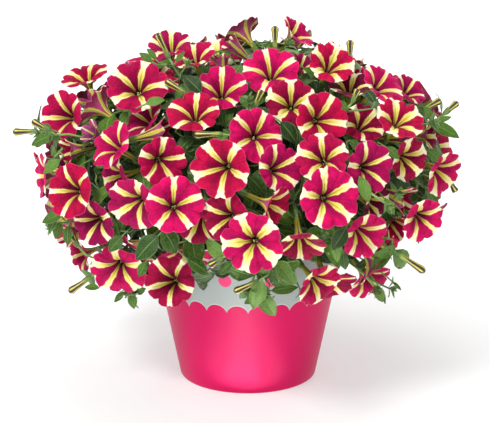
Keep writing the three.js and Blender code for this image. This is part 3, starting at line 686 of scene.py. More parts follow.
owners = len(blooms)
for number, shoot in enumerate(shoots):
    places = curve_beads(shoot["stem"], STEM_STEPS, STEM_BEAD_SPACING)
    beads.add(places, STEM_RADIUS + STALK_BEAD_ROOM, owners + number, number)
owners += len(shoots)


def stalk_to(number, start, heading, owner):
    shoot = shoots[number]
    joint = shoot["stem"].even(max(LOWEST_STALK, 1 - STALK_SPACING * len(shoot["stalks"])))
    span = np.linalg.norm(joint - start)
    straight = unit(joint - start)
    sideways = across_from(straight)
    for bend in STALK_BENDS:
        for k in range(BEND_DIRECTIONS if bend else 1):
            aside = turned_about(sideways, straight, 2 * math.pi * k / BEND_DIRECTIONS) * bend
            bend_place = joint - straight * span * 0.4 + aside * 1.5
            curve = Curve(start, start + heading * span * 0.3, bend_place, joint)
            places = curve_beads(curve, STALK_STEPS, STALK_BEAD_SPACING)
            room = STALK_RADIUS + STALK_BEAD_ROOM
            if beads.have_room(places, room, number, joint, JOINT_REACH, owner, start):
                beads.add(places, room, owner, number)
                shoot["stalks"].append(curve)
                return curve
    return None


def grow_stalk(start, heading, owner):
    """The shoot and the curve of a stalk from where something grows back to a stem, or None."""
    by_distance = sorted(range(len(shoots)), key=lambda n: np.linalg.norm(shoots[n]["fork"] - start))
    for number in by_distance[:NEAR_SHOOTS]:
        curve = stalk_to(number, start, heading, owner)
        if curve:
            return number, curve
    return None


for bloom in blooms:
    face = bloom["frame"][2]
    foot = bloom["middle"] - face * COROLLA_LENGTH
    root = foot + face * (-SEAT_GAP - CALYX_LENGTH if bloom["own"] else LIMB_THICKNESS)
    bloom["stalk"] = grow_stalk(root, -face, bloom["number"])


def leaf_bead_places(at, along, across, length, width):
    """Where a leaf keeps room for itself."""
    half = width / 2
    return np.array([
        at + along * share * length + across * aside * half for share, aside in LEAF_BEAD_PLACES
    ])


leaves = []
buds = []
sprigs = []


def try_leaf(at, along, length, shoot, bead=LEAF_BEAD_RADIUS, small=False):
    """Keeps a leaf if there is room for it."""
    across = unit(np.cross(unit(at - DOME_MIDDLE), along))
    places = leaf_bead_places(at, along, across, length, length * LEAF_WIDTH_SHARE)
    if not beads.have_room(places, bead, shoot, at, LEAF_STALK_REACH):
        return False
    beads.add(places, bead, -1, shoot)
    leaves.append({
        "shoot": shoot, "at": at, "along": along, "upper": np.cross(along, across), "length": length,
        "small": small,
    })
    return True


def way_to_tip(root, tip_x, tip_y):
    """Direction and length from a root to its tip in the view, at the depth of the root."""
    sight = sight_to(tip_x, tip_y)
    span = VIEW_EYE + sight * ((root - VIEW_EYE) @ VIEW_NEARER / (sight @ VIEW_NEARER)) - root
    length = np.linalg.norm(span)
    return span / length, length


def grow_tip(root, tip_x, tip_y, kind, owner):
    """Keeps a bud or a leafy tip if a stalk can reach it."""
    heading, length = way_to_tip(root, tip_x, tip_y)
    grown = grow_stalk(root, -heading, owner)
    if not grown:
        return False
    number = grown[0]
    tip = {"shoot": number, "root": root, "heading": heading, "length": length}
    if kind == "bud":
        buds.append(tip)
        places = [root + heading * share * length for share in (0.2, 0.5, 0.8)]
        beads.add(places, BUD_RADIUS, owner, number)
    else:
        try_leaf(root, heading, length, number)
        sprigs.append(tip)
    return True


for root_x, root_y, tip_x, tip_y, kind in FRONT_TIPS:
    owners += 1
    for push in TIP_PUSHES:
        if grow_tip(place_in_view(root_x, root_y, push), tip_x, tip_y, kind, owners):
            break

for number, shoot in enumerate(shoots):
    for count, curve in enumerate(shoot["stalks"]):
        if count % LEAF_EVERY:
            continue
        share = 1 / STALK_STEPS
        seed = count * 7.3 + shoot["fork"][0]
        at = curve.even(share)
        outward = unit(at - DOME_MIDDLE)
        for turn in range(LEAF_TURNS):
            twist = (scatter(seed) + turn / LEAF_TURNS) * 2 * math.pi
            along = turned_about(-curve.heading(share), outward, twist)
            along = unit(along + outward * LEAF_LIFT)
            if try_leaf(at, along, scatter_between(LEAF_LENGTHS, seed + 1), number):
                break


front_middles = np.array([bloom["middle"] for bloom in blooms[: len(FRONT_BLOOMS)]])
front_radii = np.array([bloom["radius"] for bloom in blooms[: len(FRONT_BLOOMS)]])


def hides_front_bloom(place):
    """Whether a place lies before a bloom of the front view."""
    sight = unit(place - VIEW_EYE)
    span = front_middles - VIEW_EYE
    away = span @ sight
    off = np.linalg.norm(span - away[:, None] * sight, axis=1)
    return bool(((off < front_radii * FACE_SHARE) & (away > np.linalg.norm(place - VIEW_EYE))).any())


# More leaves, only in the dressed model: along every stalk, lying among and behind the blooms
for number, shoot in enumerate(shoots):
    for count, curve in enumerate(shoot["stalks"]):
        for step, share in enumerate(MORE_LEAF_SHARES):
            seed = count * 3.7 + number * 11.3 + step * 0.61
            at = curve.even(share)
            outward = unit(at - DOME_MIDDLE)
            around = turned_about(across_from(outward), outward, scatter(seed) * 2 * math.pi)
            lift = 0.15 + 0.55 * scatter(seed + 0.3)
            length = scatter_between(MORE_LEAF_LENGTHS, seed + 0.5)
            for turn in range(MORE_LEAF_TURNS):
                heading = turned_about(around, outward, 2 * math.pi * turn / MORE_LEAF_TURNS)
                along = unit(heading + outward * lift)
                if any(hides_front_bloom(at + along * length * part) for part in (0.45, 0.85)):
                    continue
                if try_leaf(at, along, length, number, MORE_LEAF_BEAD_RADIUS, small=True):
                    break


# Meshes
def put_in_scene(name, data):
    made = bpy.data.objects.new(name, data)
    bpy.context.scene.collection.objects.link(made)
    return made


class Skin:
    """Gathers points, faces and what the materials read at each point, for one piece.

    place is where a point lies on its petal or leaf; look is the side (0 face, 1 back), the width
    or tone, and a seed; tint is the colour that the piece is based on."""

    def __init__(self):
        self.points, self.faces, self.slots = [], [], []
        self.place, self.look, self.tint = [], [], []
        self.count = 0

    def add(self, points, faces, slot=0, place=(0, 0, 0), look=(0, 0, 0), tint=(1, 1, 1)):
        points = np.asarray(points, float).reshape(-1, 3)
        for store, value in ((self.place, place), (self.look, look), (self.tint, tint)):
            store.append(np.broadcast_to(np.asarray(value, float), (len(points), 3)))
        self.points.append(points)
        for block in faces:
            self.faces.append(np.asarray(block) + self.count)
            self.slots.append(np.full(len(block), slot))
        self.count += len(points)

    def piece(self, name, materials, slot, *nodes):
        mesh = bpy.data.meshes.new(name)
        points = np.concatenate(self.points) * METRE
        sizes = np.concatenate([np.full(len(block), block.shape[1]) for block in self.faces])
        mesh.vertices.add(len(points))
        mesh.vertices.foreach_set("co", points.ravel())
        mesh.loops.add(int(sizes.sum()))
        mesh.loops.foreach_set("vertex_index", np.concatenate([block.ravel() for block in self.faces]))
        mesh.polygons.add(len(sizes))
        mesh.polygons.foreach_set("loop_start", np.concatenate([[0], np.cumsum(sizes)[:-1]]))
        mesh.polygons.foreach_set("material_index", np.concatenate(self.slots))
        mesh.polygons.foreach_set("use_smooth", np.ones(len(sizes), bool))
        for title, rows in (("place", self.place), ("look", self.look)):
            attribute = mesh.attributes.new(title, "FLOAT_VECTOR", "POINT")
            attribute.data.foreach_set("vector", np.concatenate(rows).ravel())
        tint = np.concatenate(self.tint)
        attribute = mesh.attributes.new("tint", "FLOAT_COLOR", "POINT")
        attribute.data.foreach_set("color", np.hstack([tint, np.ones((len(tint), 1))]).ravel())
        for material in materials:
            mesh.materials.append(material)
        mesh.update()
        mesh.validate()
        made = put_in_scene(name, mesh)
        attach(made, "root")
        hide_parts(*nodes)
        return made


def ring_quads(rings, around, first=0, flip=False):
    """Faces between rings of points; they look along the axis if the rings widen."""
    i, j = np.meshgrid(np.arange(rings - 1), np.arange(around), indexing="ij")
    beside = (j + 1) % around
    here, above = i * around, (i + 1) * around
    quads = np.stack([here + j, above + j, above + beside, here + beside], -1).reshape(-1, 4) + first
    return quads[:, ::-1] if flip else quads


def fan(first, around, flip=False):
    k = np.arange(1, around - 1)
    corners = np.stack([np.zeros_like(k), k, k + 1], -1) + first
    return corners[:, ::-1] if flip else corners


def both_sides(skin, top, low, frame, at, faces, place, look, tint=(1, 1, 1)):
    """Adds the two sides of a thin wall, turned into their frame; look holds what follows the side."""
    points = np.concatenate([top.reshape(-1, 3), low.reshape(-1, 3)]) @ np.stack(frame) + at
    back = np.repeat([0, 1], len(points) // 2)[:, None]
    look = np.hstack([back, np.broadcast_to(look, (len(points), 2))])
    place = place.reshape(-1, 3)
    skin.add(points, faces, 0, np.concatenate([place, place]), look, tint)


def linear(rgb):
    """Screen colour from 0 to 255 as the renderer's own."""
    c = np.asarray(rgb, float) / 255
    return np.where(c <= 0.04045, c / 12.92, ((c + 0.055) / 1.055) ** 2.4)


def tube(skin, path, radii, sides, slot=0, look=(0, 0, 0), tint=(1, 1, 1)):
    """A round tube along a path, closed at both ends."""
    path = np.asarray(path, float)
    headings = np.gradient(path, axis=0)
    headings /= np.linalg.norm(headings, axis=1)[:, None]
    normal = across_from(headings[0])
    points, place = [], []
    turns = 2 * np.pi * np.arange(sides) / sides
    travelled = np.concatenate([[0], np.cumsum(np.linalg.norm(np.diff(path, axis=0), axis=1))])
    for at, heading, radius, run in zip(path, headings, radii, travelled):
        normal = unit(normal - heading * (normal @ heading))
        other = np.cross(heading, normal)
        points.append(at + radius * (np.cos(turns)[:, None] * normal + np.sin(turns)[:, None] * other))
        place.append(np.stack([np.cos(turns), np.sin(turns), np.full(sides, run / 20)], -1))
    last = (len(path) - 1) * sides
    faces = [ring_quads(len(path), sides, 0, flip=True), fan(0, sides, True), fan(last, sides)]
    skin.add(np.concatenate(points), faces, slot, np.concatenate(place), look, tint)


OPEN_PROFILE = np.array([
    (0.07, 1.0), (0.075, 0.88), (0.085, 0.76), (0.092, 0.64), (0.1, 0.55), (0.115, 0.475), (0.14, 0.41),
    (0.18, 0.35), (0.235, 0.29), (0.305, 0.235), (0.385, 0.187), (0.47, 0.145), (0.555, 0.108),
    (0.64, 0.076), (0.72, 0.05), (0.795, 0.03), (0.86, 0.016), (0.92, 0.007), (0.965, 0.002), (1, 0),
])
HALF_PROFILE = np.array([
    (0.14, 1.0), (0.17, 0.86), (0.205, 0.74), (0.25, 0.63), (0.31, 0.53), (0.38, 0.44), (0.46, 0.36),
    (0.55, 0.28), (0.64, 0.21), (0.73, 0.15), (0.81, 0.1), (0.88, 0.06), (0.94, 0.03), (1, 0),
])


# Rings of the open profile that the smaller blooms keep
FEWER_RINGS = [0, 2, 4, 5, 6, 7, 8, 9, 11, 12, 14, 15, 17, 18, 19]


def corolla(skin, bloom, around):
    """One fused five-lobed corolla: a funnel with a thin wall, ruffled and notched at its rim."""
    seed = bloom["number"] * 1.37

    def rand(n):
        return scatter(seed + n)

    def rands(first, count):
        return np.array([rand(first + k) for k in range(count)])

    half = bloom["form"] == "half"
    profile = HALF_PROFILE if half else OPEN_PROFILE
    if around < OWN_AROUND and not half:
        profile = profile[FEWER_RINGS]
    radius = bloom["radius"]
    share, depth = profile[:, :1], profile[:, 1:]

    # q runs from 0 at the middle of a petal to 1 at the seam with its neighbour
    turns = 2 * np.pi * np.arange(around) / around
    sector = turns / (2 * np.pi / PETALS)
    q = np.abs((sector + 0.5) % 1 - 0.5) * 2
    petal = np.floor(sector + 0.5).astype(int) % PETALS
    gap = np.floor(sector).astype(int) % PETALS
    half_petal = np.floor(sector * 2).astype(int) % (2 * PETALS)
    lobe, notch = rands(10, PETALS)[petal], rands(20, PETALS)[gap]

    # Outline: notches at the seams, a dip at each stripe, petals of uneven size, a wavy rim
    if half:
        outline = 1 - (0.3 + 0.15 * notch) * np.exp(-(1 - q) / 0.3)
    else:
        outline = 1 - (0.045 + 0.1 * notch) * np.exp(-(1 - q) / 0.1)
        outline += 0.04 * np.sin(np.pi * np.clip(q * 1.1, 0, 1)) - 0.04 * lobe * np.exp(-q / 0.13)
        outline *= 1 + 0.09 * (lobe - 0.5) * np.cos(np.pi / 2 * q) ** 2
    outline *= 1 + 0.03 * np.sin(turns + PHASE * rand(1)) + 0.02 * np.sin(2 * turns + PHASE * rand(2))
    outline += 0.006 * np.sin(23 * turns + PHASE * rand(3)) + 0.005 * np.sin(37 * turns + PHASE * rand(4))
    r = share * radius * (1 + (outline - 1) * smooth_step(0.3, 1, share))
    r = r * (1 + 0.07 * np.cos(PETALS * turns) * (1 - smooth_step(0.2, 0.5, share)))

    # Height: the rim cups and nods, half petals lift or sink, seams and stripes lie low, the rim ruffles
    bend = rand(6) * 2 * np.pi
    lift = rands(30, 2 * PETALS)[half_petal] - 0.5
    crease = np.exp(-((1 - q) / 0.13) ** 2)
    ruffle = np.sin(11 * turns + 7 * share + PHASE * rand(8))
    ruffle = ruffle + 0.7 * np.sin(17 * turns - 5 * share + PHASE * rand(40))
    z = -depth * COROLLA_LENGTH + radius * (rand(5) - 0.55) * 0.14 * share ** 2
    z = z - radius * (0.02 + 0.07 * rand(7)) * smooth_step(0.55, 1, share) * (1 + np.cos(turns - bend))
    z = z + radius * 0.22 * lift * np.sin(np.pi * q) * share ** 3
    z = z + radius * 0.08 * np.sin(np.pi / 2 * q) ** 2 * np.sin(np.pi * np.clip(share, 0, 1))
    z = z - radius * 0.075 * crease * smooth_step(0.45, 0.95, share)
    z = z - radius * 0.028 * np.exp(-(q / 0.15) ** 2) * smooth_step(0.1, 0.4, share)
    z = z + radius * (0.012 + 0.016 * rand(41)) * ruffle * smooth_step(0.35, 1, share)
    if half:
        z = z - radius * 0.35 * (0.5 + 0.5 * np.cos(np.pi * (1 - q))) * smooth_step(0.5, 1, share)

    lean = radius * 0.05 * (rand(9) - 0.5)
    inner = np.stack([r * np.cos(turns) + lean * (1 - share), r * np.sin(turns), z], -1)
    round_rim = np.roll(inner, -1, 1) - np.roll(inner, 1, 1)
    outer = inner - PETAL_THICKNESS * units(np.cross(np.gradient(inner, axis=0), round_rim))

    rings = len(profile)
    first_outer = rings * around
    rim = np.arange(around) + (rings - 1) * around
    beside = np.roll(rim, -1)
    strip = np.stack([rim, rim + first_outer, beside + first_outer, beside], -1)
    faces = [
        ring_quads(rings, around),
        ring_quads(rings, around, first_outer, flip=True),
        strip,
        fan(0, around),
        fan(first_outer, around, flip=True),
    ]
    flat = share if not half else (share - 0.14) / 0.86 * 0.93 + 0.07
    place = np.stack([np.cos(turns) * flat, np.sin(turns) * flat, depth * np.ones(around)], -1)
    tint = linear(bloom["tint"]) * (1.08 + 0.24 * rand(50))
    look = (bloom["stripe"], seed)
    both_sides(skin, inner, outer, bloom["frame"], bloom["middle"], faces, place, look, tint)


def ellipsoid(skin, middle, axes, slot, tint):
    """A small rounded body, its axes given as three vectors."""
    levels = np.linspace(0, np.pi, KNOB_RINGS + 2)[1:-1]
    turns = 2 * np.pi * np.arange(KNOB_AROUND) / KNOB_AROUND
    points = [middle + axes[2]]
    for level in levels:
        ring = np.cos(turns)[:, None] * axes[0] + np.sin(turns)[:, None] * axes[1]
        points += list(middle + math.cos(level) * axes[2] + math.sin(level) * ring)
    points.append(middle - axes[2])
    last = len(points) - 1
    j = np.arange(KNOB_AROUND)
    beside = (j + 1) % KNOB_AROUND
    top = np.stack([np.zeros(KNOB_AROUND, int), 1 + j, 1 + beside], -1)
    low = 1 + (KNOB_RINGS - 1) * KNOB_AROUND
    bottom = np.stack([np.full(KNOB_AROUND, last), low + beside, low + j], -1)
    skin.add(points, [top, ring_quads(KNOB_RINGS, KNOB_AROUND, 1), bottom], slot, tint=tint)


ANTHER_TINT = linear((222, 196, 132))
STIGMA_TINT = linear((128, 142, 50))


def stamens(skin, bloom, count):
    """Anthers on their threads, and the stigma, at the mouth of the tube."""
    side, rise, face = bloom["frame"]
    scale = 1 if bloom["form"] == "open" else 0.75
    floor = bloom["middle"] - face * COROLLA_LENGTH * 0.9
    for k in range(count + 1):
        stigma = k == count
        seed = bloom["number"] * 0.83 + k * 0.57
        turn = 2 * math.pi * (k + 0.7 * scatter(seed)) / count
        aside = side * math.cos(turn) + rise * math.sin(turn)
        depth = STIGMA_DEPTH if stigma else 0.44 + 0.12 * scatter(seed + 0.2)
        top = bloom["middle"] - face * COROLLA_LENGTH * depth
        if not stigma:
            top = top + aside * (1.1 + 0.9 * scatter(seed + 0.4)) * scale
        thread = [floor + aside * 0.6, (floor + top) / 2, top]
        tube(skin, thread, [THREAD_RADIUS] * 3, 3, 1, tint=STIGMA_TINT)
        size = 0.75 if stigma else 0.85
        across = unit(np.cross(face, aside) + face * (scatter(seed + 0.6) - 0.5))
        axes = np.array([aside * size * 0.75, across * size * 1.25, face * size * 0.75]) * scale
        ellipsoid(skin, top, axes, 1, STIGMA_TINT if stigma else ANTHER_TINT)


def blade(
    skin, at, along, upper, length, width, droop, fold, tone, seed, steps, belly=0.85, thick=LEAF_THICKNESS
):
    """A leaf: an ovate blade, folded along its midrib and bent towards its tip.

    steps are those along the leaf, then those from the midrib to the rim; a smaller belly is nearer
    the foot."""
    t = np.linspace(0, 1, steps[0] + 1)[:, None]
    v = np.linspace(-1, 1, 2 * steps[1] + 1)[None, :]
    shape = np.sin(np.pi * t ** belly) ** 0.85
    wide = np.maximum(width / 2 * shape, np.where(t < 0.5, 0.7, 0.25))
    rim = np.abs(v)
    z = -length * (1 - np.cos(droop * t)) / droop + rim * wide * fold - 0.12 * wide * rim ** 2
    z = z + 0.05 * width * np.sin(11 * t + 2.5 * v + PHASE * scatter(seed)) * rim ** 2
    top = np.stack([length * np.sin(droop * t) / droop + 0 * v, wide * v, z], -1)
    low = top - thick * units(np.cross(np.gradient(top, axis=0), np.gradient(top, axis=1)))

    rows, columns = top.shape[:2]
    total = rows * columns
    i, j = np.meshgrid(np.arange(rows - 1), np.arange(columns - 1), indexing="ij")
    here, above = i * columns + j, (i + 1) * columns + j
    quads = np.stack([here, above, above + 1, here + 1], -1).reshape(-1, 4)
    border = np.concatenate([
        np.arange(0, columns - 1),
        np.arange(rows - 1) * columns + columns - 1,
        (rows - 1) * columns + np.arange(columns - 1, 0, -1),
        np.arange(rows - 1, 0, -1) * columns,
    ])
    after = np.roll(border, -1)
    edge = np.stack([border, after, after + total, border + total], -1)
    faces = [quads, quads[:, ::-1] + total, edge[:, ::-1]]
    place = np.stack([t + 0 * v, v + 0 * t, 0 * t + 0 * v], -1)
    both_sides(skin, top, low, (along, np.cross(upper, along), upper), at, faces, place, (tone, seed))


# Shader wiring
class Wiring:
    """Places nodes in a tree and links them; each call gives back an output socket."""

    def __init__(self, tree):
        self.nodes, self.links = tree.nodes, tree.links

    def feed(self, socket, value):
        if isinstance(value, bpy.types.NodeSocket):
            self.links.new(value, socket)
        elif socket.type == "RGBA":
            socket.default_value = (*value, 1)
        else:
            socket.default_value = value

    def node(self, kind, inputs=(), **settings):
        made = self.nodes.new(kind)
        for setting, value in settings.items():
            setattr(made, setting, value)
        for name, value in dict(inputs).items():
            self.feed(made.inputs[name], value)
        return made

    def math(self, operation, *values):
        return self.node("ShaderNodeMath", enumerate(values), operation=operation).outputs[0]

    def plus(self, one, other):
        return self.math("ADD", one, other)

    def minus(self, one, other):
        return self.math("SUBTRACT", one, other)

    def times(self, one, other):
        return self.math("MULTIPLY", one, other)

    def over(self, one, other):
        return self.math("DIVIDE", one, other)

    def smooth(self, value, low, high, start=0.0, end=1.0):
        given = {0: value, 1: low, 2: high, 3: start, 4: end}
        return self.node("ShaderNodeMapRange", given, interpolation_type="SMOOTHSTEP").outputs[0]

    def mix(self, share, one, other, kind="MIX"):
        given = {0: share, 6: one, 7: other}
        return self.node("ShaderNodeMix", given, data_type="RGBA", blend_type=kind).outputs[2]

    def tint(self, share, ground, rgb, kind="MIX"):
        return self.mix(share, ground, linear(rgb), kind)

    def vector(self, x, y, z):
        return self.node("ShaderNodeCombineXYZ", {0: x, 1: y, 2: z}).outputs[0]

    def parts(self, vector):
        return self.node("ShaderNodeSeparateXYZ", {0: vector}).outputs

    def noise(self, vector, scale, detail=2.0, roughness=0.5):
        given = {"Vector": vector, "Scale": scale, "Detail": detail, "Roughness": roughness}
        return self.node("ShaderNodeTexNoise", given).outputs[0]

    def cells(self, vector, scale, feature="DISTANCE_TO_EDGE"):
        given = {"Vector": vector, "Scale": scale}
        return self.node("ShaderNodeTexVoronoi", given, feature=feature).outputs[0]

    def ramp(self, value, stops):
        made = self.node("ShaderNodeValToRGB", {0: value})
        elements = made.color_ramp.elements
        for k, (position, rgb) in enumerate(stops):
            element = elements[k] if k < 2 else elements.new(position)
            element.position = position
            element.color = (*linear(rgb), 1)
        return made.outputs[0]

    def object_place(self):
        return self.node("ShaderNodeTexCoord").outputs["Object"]

    def attribute(self, name):
        made = self.node("ShaderNodeAttribute", attribute_name=name)
        return made.outputs["Color"] if name == "tint" else made.outputs["Vector"]


def effect(name, inputs, outputs):
    """A new shader node group with named inputs and outputs, and what is needed to wire it."""
    group = bpy.data.node_groups.new(name, "ShaderNodeTree")
    kinds = {"vector": "NodeSocketVector", "colour": "NodeSocketColor", "value": "NodeSocketFloat"}
    for title, kind in inputs:
        group.interface.new_socket(title, in_out="INPUT", socket_type=kinds[kind])
    for title, kind in outputs:
        group.interface.new_socket(title, in_out="OUTPUT", socket_type=kinds[kind])
    w = Wiring(group)
    return group, w, w.node("NodeGroupInput").outputs, w.node("NodeGroupOutput").inputs


def use(w, group, **given):
    made = w.node("ShaderNodeGroup")
    made.node_tree = group
    for title, value in given.items():
        w.feed(made.inputs[title.replace("_", " ")], value)
    return made.outputs


def shader(name, roughness, **fixed):
    """A new material, its wiring and its main shader, with the sockets that stay the same all over."""
    made = bpy.data.materials.new(name)
    made.use_nodes = True
    w = Wiring(made.node_tree)
    main = made.node_tree.nodes["Principled BSDF"]
    main.inputs["Roughness"].default_value = roughness
    for title, value in fixed.items():
        main.inputs[title.replace("_", " ")].default_value = value
    return made, w, main


def bump(w, main, height, strength, distance):
    given = {"Height": height, "Strength": strength, "Distance": distance}
    w.links.new(w.node("ShaderNodeBump", given).outputs[0], main.inputs["Normal"])


# Petals: five pale stripes on coloured ground, with veins; another set of colours on the back
petal_marks, w, given, put = effect(
    "petal marks",
    [("Place", "vector"), ("Look", "vector"), ("Tint", "colour")],
    [("Colour", "colour"), ("Height", "value")],
)
px, py, depth = w.parts(given["Place"])
back, stripe_width, seed = w.parts(given["Look"])
rho = w.math("SQRT", w.plus(w.times(px, px), w.times(py, py)))
phi = w.math("ARCTAN2", py, px)
sector = w.over(phi, 2 * math.pi / PETALS)
folded = w.minus(w.math("FRACT", w.plus(sector, 10.5)), 0.5)
q = w.times(w.math("ABSOLUTE", folded), 2.0)
aside = w.times(rho, w.math("SINE", w.times(q, math.pi / PETALS)))
spot = w.vector(px, py, seed)
rays = w.vector(w.times(phi, 2.2), rho, seed)
wobble = w.minus(w.noise(spot, 5.0, 3.0), 0.5)
aside_loose = w.plus(aside, w.times(wobble, w.times(rho, 0.055)))
width = w.plus(0.034, w.times(0.064, w.smooth(rho, 0.1, 0.5)))
flare = w.smooth(stripe_width, 0.85, 1.3, 0.015, 0.11)
flare = w.times(flare, w.smooth(rho, 0.8, 1.02))
stretched = w.vector(w.times(rho, 1.6), w.math("ROUND", sector), seed)
vary = w.smooth(w.noise(stretched, 2.2), 0.25, 0.75, 0.72, 1.25)
width = w.times(w.times(stripe_width, vary), w.plus(width, flare))
stripe = w.smooth(w.minus(aside_loose, width), -0.012, 0.012, 1.0, 0.0)

# Ground of the face
fine = w.noise(w.vector(px, py, seed), 26.0, 4.0, 0.65)
soft = w.noise(spot, 2.6, 3.0)
veins = w.cells(w.vector(w.times(phi, 3.2), w.times(rho, 4.2), seed), 2.6)
vein_lines = w.smooth(veins, 0.0, 0.06, 1.0, 0.0)
ray_lines = w.smooth(w.noise(rays, 13.0, 3.0, 0.65), 0.5, 0.66)
each_petal = w.noise(w.vector(w.math("ROUND", sector), seed, 0.5), 1.7)
ground = w.tint(w.smooth(each_petal, 0.3, 0.7, 0.5, 0.0), given["Tint"], (200, 180, 225), "MULTIPLY")
# Darker and purpler towards the throat: partly the petal's own purple cast, partly painted shade down the
# funnel
throat_cast_and_shade = w.smooth(w.plus(rho, w.times(wobble, 0.5)), 0.08, 0.82, 1.0, 0.0)
ground = w.tint(w.times(throat_cast_and_shade, 0.9), ground, (158, 130, 208), "MULTIPLY")
ground = w.tint(w.times(w.smooth(rho, 0.25, 0.95, 0.75, 0.25), ray_lines), ground, (82, 2, 40))
# A dark line along each seam between petals, where the rim creases: painted shade in the crease
seam = w.times(rho, w.math("SINE", w.times(w.minus(1.0, q), math.pi / PETALS)))
seam = w.smooth(w.plus(seam, w.times(wobble, 0.04)), 0.0, 0.03, 0.42, 0.0)
ground = w.tint(w.times(seam, w.smooth(rho, 0.15, 0.5)), ground, (92, 2, 42))
ground = w.tint(w.times(vein_lines, 0.28), ground, (88, 2, 36))
ground = w.tint(w.smooth(soft, 0.3, 0.62, 0.6, 0.0), ground, (170, 160, 190), "MULTIPLY")
lighter = w.tint(1.0, ground, (120, 140, 140), "DODGE")
ground = w.mix(w.smooth(soft, 0.5, 0.85, 0.0, 0.3), ground, lighter)
ground = w.tint(w.smooth(fine, 0.42, 0.78, 0.0, 0.3), ground, (234, 34, 104))
outer_rim = w.smooth(w.plus(rho, w.times(wobble, 0.03)), 0.955, 1.0, 0.0, 0.4)
ground = w.tint(outer_rim, ground, (238, 90, 140))
halo = w.smooth(w.minus(aside_loose, width), 0.0, 0.035, 0.65, 0.0)
halo = w.times(halo, w.smooth(rho, 0.35, 0.7))
ground = w.tint(halo, ground, (232, 96, 134))

# Stripes of the face
pale = w.ramp(rho, (
    (0.07, (92, 86, 22)), (0.13, (168, 158, 46)), (0.24, (222, 206, 78)), (0.45, (236, 220, 104)),
    (0.66, (247, 236, 152)), (0.9, (254, 249, 212)),
))
across_stripe = w.over(aside, w.math("MAXIMUM", width, 0.01))
pale = w.tint(w.smooth(across_stripe, 0.45, 1.0, 0.0, 0.3), pale, (248, 240, 190))
midline = w.smooth(aside, 0.003, 0.014, 1.0, 0.0)
midline = w.times(midline, w.smooth(rho, 0.3, 0.9, 0.8, 0.1))
pale = w.tint(midline, pale, (148, 132, 40))
pale = w.tint(w.times(ray_lines, 0.4), pale, (196, 172, 72))
pale = w.tint(w.smooth(fine, 0.5, 0.8, 0.0, 0.25), pale, (214, 190, 110))
face = w.mix(stripe, ground, pale)
mouth = w.smooth(w.plus(depth, w.times(wobble, 0.06)), 0.36, 0.52)
mouth_colour = w.mix(w.smooth(q, 0.35, 0.65), linear((110, 104, 28)), linear((44, 10, 24)))
face = w.mix(mouth, face, mouth_colour)

# The back: mauve ground with dark veins, ribs from cream to olive, a striped tube
mauve = w.tint(w.smooth(depth, 0.0, 0.25, 0.55, 0.85), given["Tint"], (196, 98, 146))
mauve = w.tint(w.times(ray_lines, 0.5), mauve, (118, 34, 84))
mauve = w.tint(w.times(vein_lines, 0.3), mauve, (130, 40, 90))
tube_share = w.smooth(depth, 0.1, 0.45)
rib_edge = w.plus(w.over(width, w.math("MAXIMUM", rho, 0.05)), w.times(tube_share, 0.1))
rib_measure = w.minus(w.over(aside_loose, w.math("MAXIMUM", rho, 0.05)), rib_edge)
rib = w.smooth(rib_measure, -0.06, 0.06, 1.0, 0.0)
rib_colour = w.ramp(depth, (
    (0.0, (244, 232, 160)), (0.1, (234, 220, 98)), (0.4, (222, 212, 84)), (0.7, (204, 204, 84)),
    (1.0, (140, 164, 66)),
))
rib_colour = w.tint(w.smooth(aside, 0.003, 0.016, 0.5, 0.0), rib_colour, (120, 130, 44))
dark_back = w.tint(w.smooth(depth, 0.2, 0.6, 0.0, 0.8), mauve, (112, 34, 70))
dark_back = w.tint(w.smooth(depth, 0.75, 1.0), dark_back, (130, 120, 60))
behind = w.mix(rib, dark_back, rib_colour)

w.feed(put["Colour"], w.mix(w.smooth(back, 0.3, 0.7), face, behind))
relief = w.times(w.smooth(q, 0.0, 0.12, -1.0, 0.0), w.smooth(rho, 0.9, 0.3, 0.0, 1.0))
relief = w.plus(relief, w.times(vein_lines, -0.25))
relief = w.plus(relief, w.times(w.noise(rays, 9.0, 3.0), 1.1))
w.feed(put["Height"], w.plus(relief, w.times(fine, 0.25)))

petal, w, main = shader("petal", 0.55, Specular_IOR_Level=0.08)
place, look, tint = (w.attribute(name) for name in ("place", "look", "tint"))
marks = use(w, petal_marks, Place=place, Look=look, Tint=tint)
w.feed(main.inputs["Base Color"], marks["Colour"])
bump(w, main, marks["Height"], 0.8, 0.0011)

anther, w, main = shader("anther and stigma", 0.7)
grain = w.noise(w.object_place(), 2600.0, 2.0)
w.feed(main.inputs["Base Color"], w.tint(w.times(grain, 0.5), w.attribute("tint"), (250, 220, 180)))
bump(w, main, grain, 0.4, 0.0002)

# Greens: leaves with midrib and side veins, stalks and stems
leaf_marks, w, given, put = effect(
    "leaf marks", [("Place", "vector"), ("Look", "vector")], [("Colour", "colour"), ("Height", "value")]
)
along, across, _ = w.parts(given["Place"])
back, tone, seed = w.parts(given["Look"])
rim = w.math("ABSOLUTE", across)
mottle = w.noise(w.vector(w.times(along, 3.0), across, seed), 3.5, 4.0, 0.6)
side_run = w.minus(w.times(along, 9.0), w.times(rim, 2.6))
side_vein = w.math("ABSOLUTE", w.minus(w.math("FRACT", w.plus(side_run, 8.0)), 0.5))
side_vein = w.smooth(side_vein, 0.0, 0.09, 1.0, 0.0)
side_vein = w.times(side_vein, w.smooth(rim, 0.05, 1.0, 1.0, 0.25))
midrib = w.smooth(rim, 0.03, 0.11, 1.0, 0.0)
green = w.ramp(w.plus(tone, w.times(w.minus(mottle, 0.5), 0.6)), (
    (0.0, (20, 38, 12)), (0.3, (44, 76, 22)), (0.55, (86, 124, 38)), (0.75, (108, 142, 66)),
    (1.0, (148, 176, 128)),
))
green = w.tint(w.times(side_vein, 0.2), green, (146, 186, 116))
green = w.tint(w.times(midrib, 0.32), green, (160, 196, 112))
